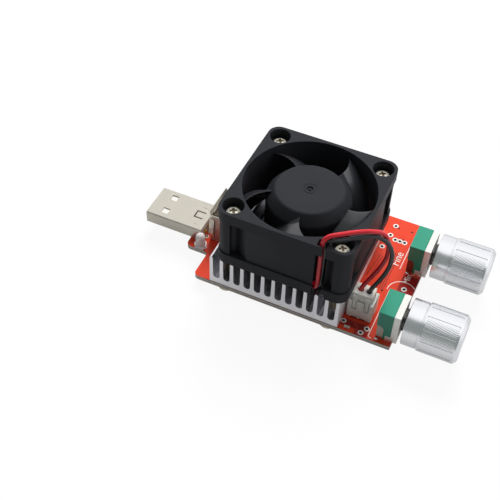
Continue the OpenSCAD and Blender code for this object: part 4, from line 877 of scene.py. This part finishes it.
def socket_springs():
    """Leaf springs of the socket: two inside its left wall and one on its front end. Each is a strip along a
    bowed line, a squared sine of the height, with its width along the wall."""
    left = (low("usb_socket_tongue")[0] - DATUM[0]) / MM + 0.12
    z = np.linspace(3.4, 9.9, 24)
    bow = left + WALL_BOW * np.sin(math.pi * np.clip((z - 3.4) / 5.8, 0, 1)) ** 2
    for y in WALL_SPRINGS:
        for points, quads in strip(np.stack([z, bow], -1), WALL_SPRING_T, 2):
            yield from placed([(points[:, [1, 2, 0]] + [0, y, 0], quads)])
    z = np.linspace(0.5, 9, 24)
    bow = SOCKET_END - END_SPRING_T / 2 - END_BOW * np.sin(math.pi * z / 9.5) ** 2
    for points, quads in strip(np.stack([z, bow], -1), END_SPRING_T, 1.5):
        yield from placed([(points[:, [2, 1, 0]] + [END_SPRING_X, 0, 0], quads)])


build("socket_springs", list(socket_springs()), "nickel_shell")


# Solids that keep their shape get smooth walls, rounded edges and a finish

def smooth_group():
    """A node group that merges equal points, smooths all faces and keeps edges past SHARP degrees."""
    group = bpy.data.node_groups.new("smooth_walls", "GeometryNodeTree")
    for way in ("INPUT", "OUTPUT"):
        group.interface.new_socket("Geometry", in_out=way, socket_type="NodeSocketGeometry")
    kinds = ["NodeGroupInput", "GeometryNodeMergeByDistance", "GeometryNodeSetShadeSmooth",
             "GeometryNodeSetShadeSmooth", "NodeGroupOutput"]
    chain = [group.nodes.new(kind) for kind in kinds]
    for before, after in zip(chain[:-1], chain[1:]):
        group.links.new(before.outputs[0], after.inputs[0])
    chain[1].inputs["Distance"].default_value = 1e-6
    chain[3].domain = "EDGE"
    chain[3].inputs["Shade Smooth"].default_value = False
    angle = group.nodes.new("GeometryNodeInputMeshEdgeAngle")
    past = group.nodes.new("FunctionNodeCompare")
    past.data_type, past.operation = "FLOAT", "GREATER_THAN"
    past.inputs[1].default_value = math.radians(SHARP)
    group.links.new(angle.outputs["Unsigned Angle"], past.inputs[0])
    group.links.new(past.outputs[0], chain[3].inputs["Selection"])
    return group


SMOOTH = smooth_group()


def dress(finish, *names, edge=0.0):
    """Gives solids a finish and smooth walls, and rounds their sharp edges by a width in millimetres."""
    for name in names:
        solid = solids[name]
        for place in solid.material_slots:
            place.material = FINISH[finish].material
        solid.modifiers.new("smooth", "NODES").node_group = SMOOTH
        if edge:
            flat = solid.modifiers.new("flat", "DECIMATE")
            flat.decimate_type, flat.angle_limit = "DISSOLVE", math.radians(1)
            flat.delimit = {"SHARP"}
            bevel = solid.modifiers.new("edge", "BEVEL")
            bevel.width, bevel.segments = edge * MM, 2
            bevel.limit_method, bevel.angle_limit = "ANGLE", math.radians(SHARP)
            bevel.harden_normals = True


dress("board_red", "circuit_board")
dress("pad_white", "thermal_pad")
dress("sink_aluminium", "heatsink", edge=0.08)
dress("screw_steel", "heatsink_screws", edge=0.1)
dress("fan_screw_steel", "fan_screws", edge=0.1)
dress("fan_plastic", "fan_frame", edge=0.25)
dress("bearing_bronze", "fan_bearing")
dress("circuit_green", "fan_circuit")
dress("core_steel", "fan_stator")
dress("coil_copper", "fan_coils", edge=0.3)
dress("shaft_steel", "fan_shaft", "fan_cup", edge=0.1)
dress("magnet_black", "fan_magnet", edge=0.1)
dress("connector_ivory", "lead_plug", "header", edge=0.12)
dress("tinned_metal", "lead_contacts", "header_pins", "lamp_leads", "mosfet_leads", "opamp_leads")
dress("nickel_shell", "usb_plug_shell", "usb_socket_shell", edge=0.05)
dress("tongue_white", "usb_plug_tongue", "usb_socket_tongue", edge=0.1)
dress("contact_gold", "usb_plug_contacts", "usb_socket_contacts", edge=0.04)
dress("lamp_clear", "status_lamp", edge=0.1)
dress("chip_black", "mosfet_body", "opamp_body", edge=0.15)
dress("resistor_black", "sense_resistor", "chip_resistors", edge=0.06)
dress("capacitor_tan", "chip_capacitors", edge=0.06)
# The coarse control's block keeps the ivory, and the fine control's takes its copy with painted shade
for control, block in (("coarse", "terminal_ivory"), ("fine", "terminal_brown")):
    dress("control_green", f"{control}_body", edge=0.15)
    dress("cover_metal", f"{control}_cover", edge=0.15)
    dress(block, f"{control}_terminals", edge=0.15)
    dress("tinned_metal", f"{control}_pins", edge=0.06)
    dress("shaft_steel", f"{control}_shaft", edge=0.2)
    dress("insert_black", f"{control}_insert", edge=0.2)


# Light, floor and background

def light_panel(name, place, size, power):
    """A square lamp at a place, turned towards the object, in metres and watts. No gloss mirrors it."""
    lamp = bpy.data.lights.new(name, "AREA")
    lamp.size, lamp.energy = size, power
    lamp_object = bpy.data.objects.new(name, lamp)
    back = np.asarray(place, float) / np.linalg.norm(place)
    side = np.cross([0, 1, 0], back)
    side /= np.linalg.norm(side)
    matrix = np.eye(4)
    matrix[:3] = np.stack([side, np.cross(back, side), back, place], 1)
    lamp_object.matrix_world = matrix.T.tolist()
    lamp_object.visible_glossy = False
    bpy.context.scene.collection.objects.link(lamp_object)


light_panel("top_panel", place=(-0.1, 0.65, 0.8), size=0.55, power=12.5)
light_panel("side_panel", place=(0.95, 0.1, 0.45), size=0.5, power=2.5)


def seen_directly(shading):
    """1 for rays from the camera and through glass, and 0 for the rays that light other surfaces."""
    camera, glass = (
        shading.node("ShaderNodeLightPath", out=f"Is {kind} Ray") for kind in ("Camera", "Transmission"))
    return shading.math("MAXIMUM", camera, glass)


# Half the floor's side, its greys for the light that it throws and for the eye, and the share of even white in
# it when it is seen directly and in gloss
FLOOR_HALF, FLOOR_GREY, FLOOR_PALE = 3.0, (0.45, 0.45, 0.45, 1), (0.95, 0.95, 0.95, 1)
WHITE_SEEN, WHITE_MIRRORED = 0.92, 0.4


def lay_floor():
    """A pale floor under the feet. Seen directly it is mostly even white, so that only a soft shadow shows, and
    right under the board it is plain."""
    corners = [(x * FLOOR_HALF, y * FLOOR_HALF, 0.0) for x, y in ((-1, -1), (1, -1), (1, 1), (-1, 1))]
    mesh = bpy.data.meshes.new("floor")
    mesh.from_pydata(corners, [], [(0, 1, 2, 3)])
    floor = bpy.data.objects.new("floor", mesh)
    bpy.context.scene.collection.objects.link(floor)
    made = Finish("floor_white", Roughness=0.9)
    near = np.array([low("heatsink")[0], low("circuit_board")[1]])
    under = made.within(near + 3 * MM, high("circuit_board"), 2 * MM)
    seen = seen_directly(made)
    made.feed(Base_Color=made.mix(seen, FLOOR_GREY, FLOOR_PALE))
    glow = made.node("ShaderNodeEmission")
    plain = Value(made, made.shader.outputs[0])
    glossy = made.node("ShaderNodeLightPath", out="Is Glossy Ray")
    share = WHITE_SEEN * seen * (1 - under) + WHITE_MIRRORED * glossy * (1 - seen)
    blend = made.node("ShaderNodeMixShader", sockets={0: share, 1: plain, 2: glow})
    made.tree.links.new(blend.socket, made.tree.nodes["Material Output"].inputs["Surface"])
    mesh.materials.append(made.material)


# The room that gloss mirrors: its sky at the sides and overhead, and a grey band in front
SKY_SIDE, SKY_TOP, BAND_GREY = (1, 1, 1.01, 1), (1.15, 1.15, 1.15, 1), (0.27, 0.29, 0.285, 1)
FILL_STRENGTH = 0.4


def set_world():
    """White seen directly. Gloss mirrors a bright sky with a grey band in front, up to two thirds of the way
    overhead, and other surfaces get a weaker light from the same room."""
    world = bpy.data.worlds.new("studio")
    bpy.context.scene.world = world
    world.use_nodes = True
    studio = Shading(world.node_tree)
    spot = studio.node("ShaderNodeTexCoord", out="Generated")
    ahead, up = (studio.node("ShaderNodeSeparateXYZ", sockets={0: spot}, out=axis) for axis in "YZ")
    band = studio.ease(ahead, -0.1, -0.4) * (1 - studio.ease(up, 0.84, 0.96))
    sky = studio.mix(studio.ease(up, 0.5, 0.95), SKY_SIDE, SKY_TOP)
    room = studio.mix(band, sky, BAND_GREY)
    mirrored = studio.node("ShaderNodeBackground", sockets={0: room, 1: 1.0})
    fill = studio.node("ShaderNodeBackground", sockets={0: room, 1: FILL_STRENGTH})
    white = studio.node("ShaderNodeBackground", sockets={0: (1, 1, 1, 1), 1: 1.0})
    glossy = studio.node("ShaderNodeLightPath", out="Is Glossy Ray")
    unseen = studio.node("ShaderNodeMixShader", sockets={0: glossy, 1: fill, 2: mirrored})
    whole = studio.node("ShaderNodeMixShader", sockets={0: seen_directly(studio), 1: unseen, 2: white})
    studio.tree.links.new(whole.socket, studio.tree.nodes["World Output"].inputs["Surface"])


lay_floor()
set_world()
bpy.context.scene.view_settings.view_transform = "Standard"
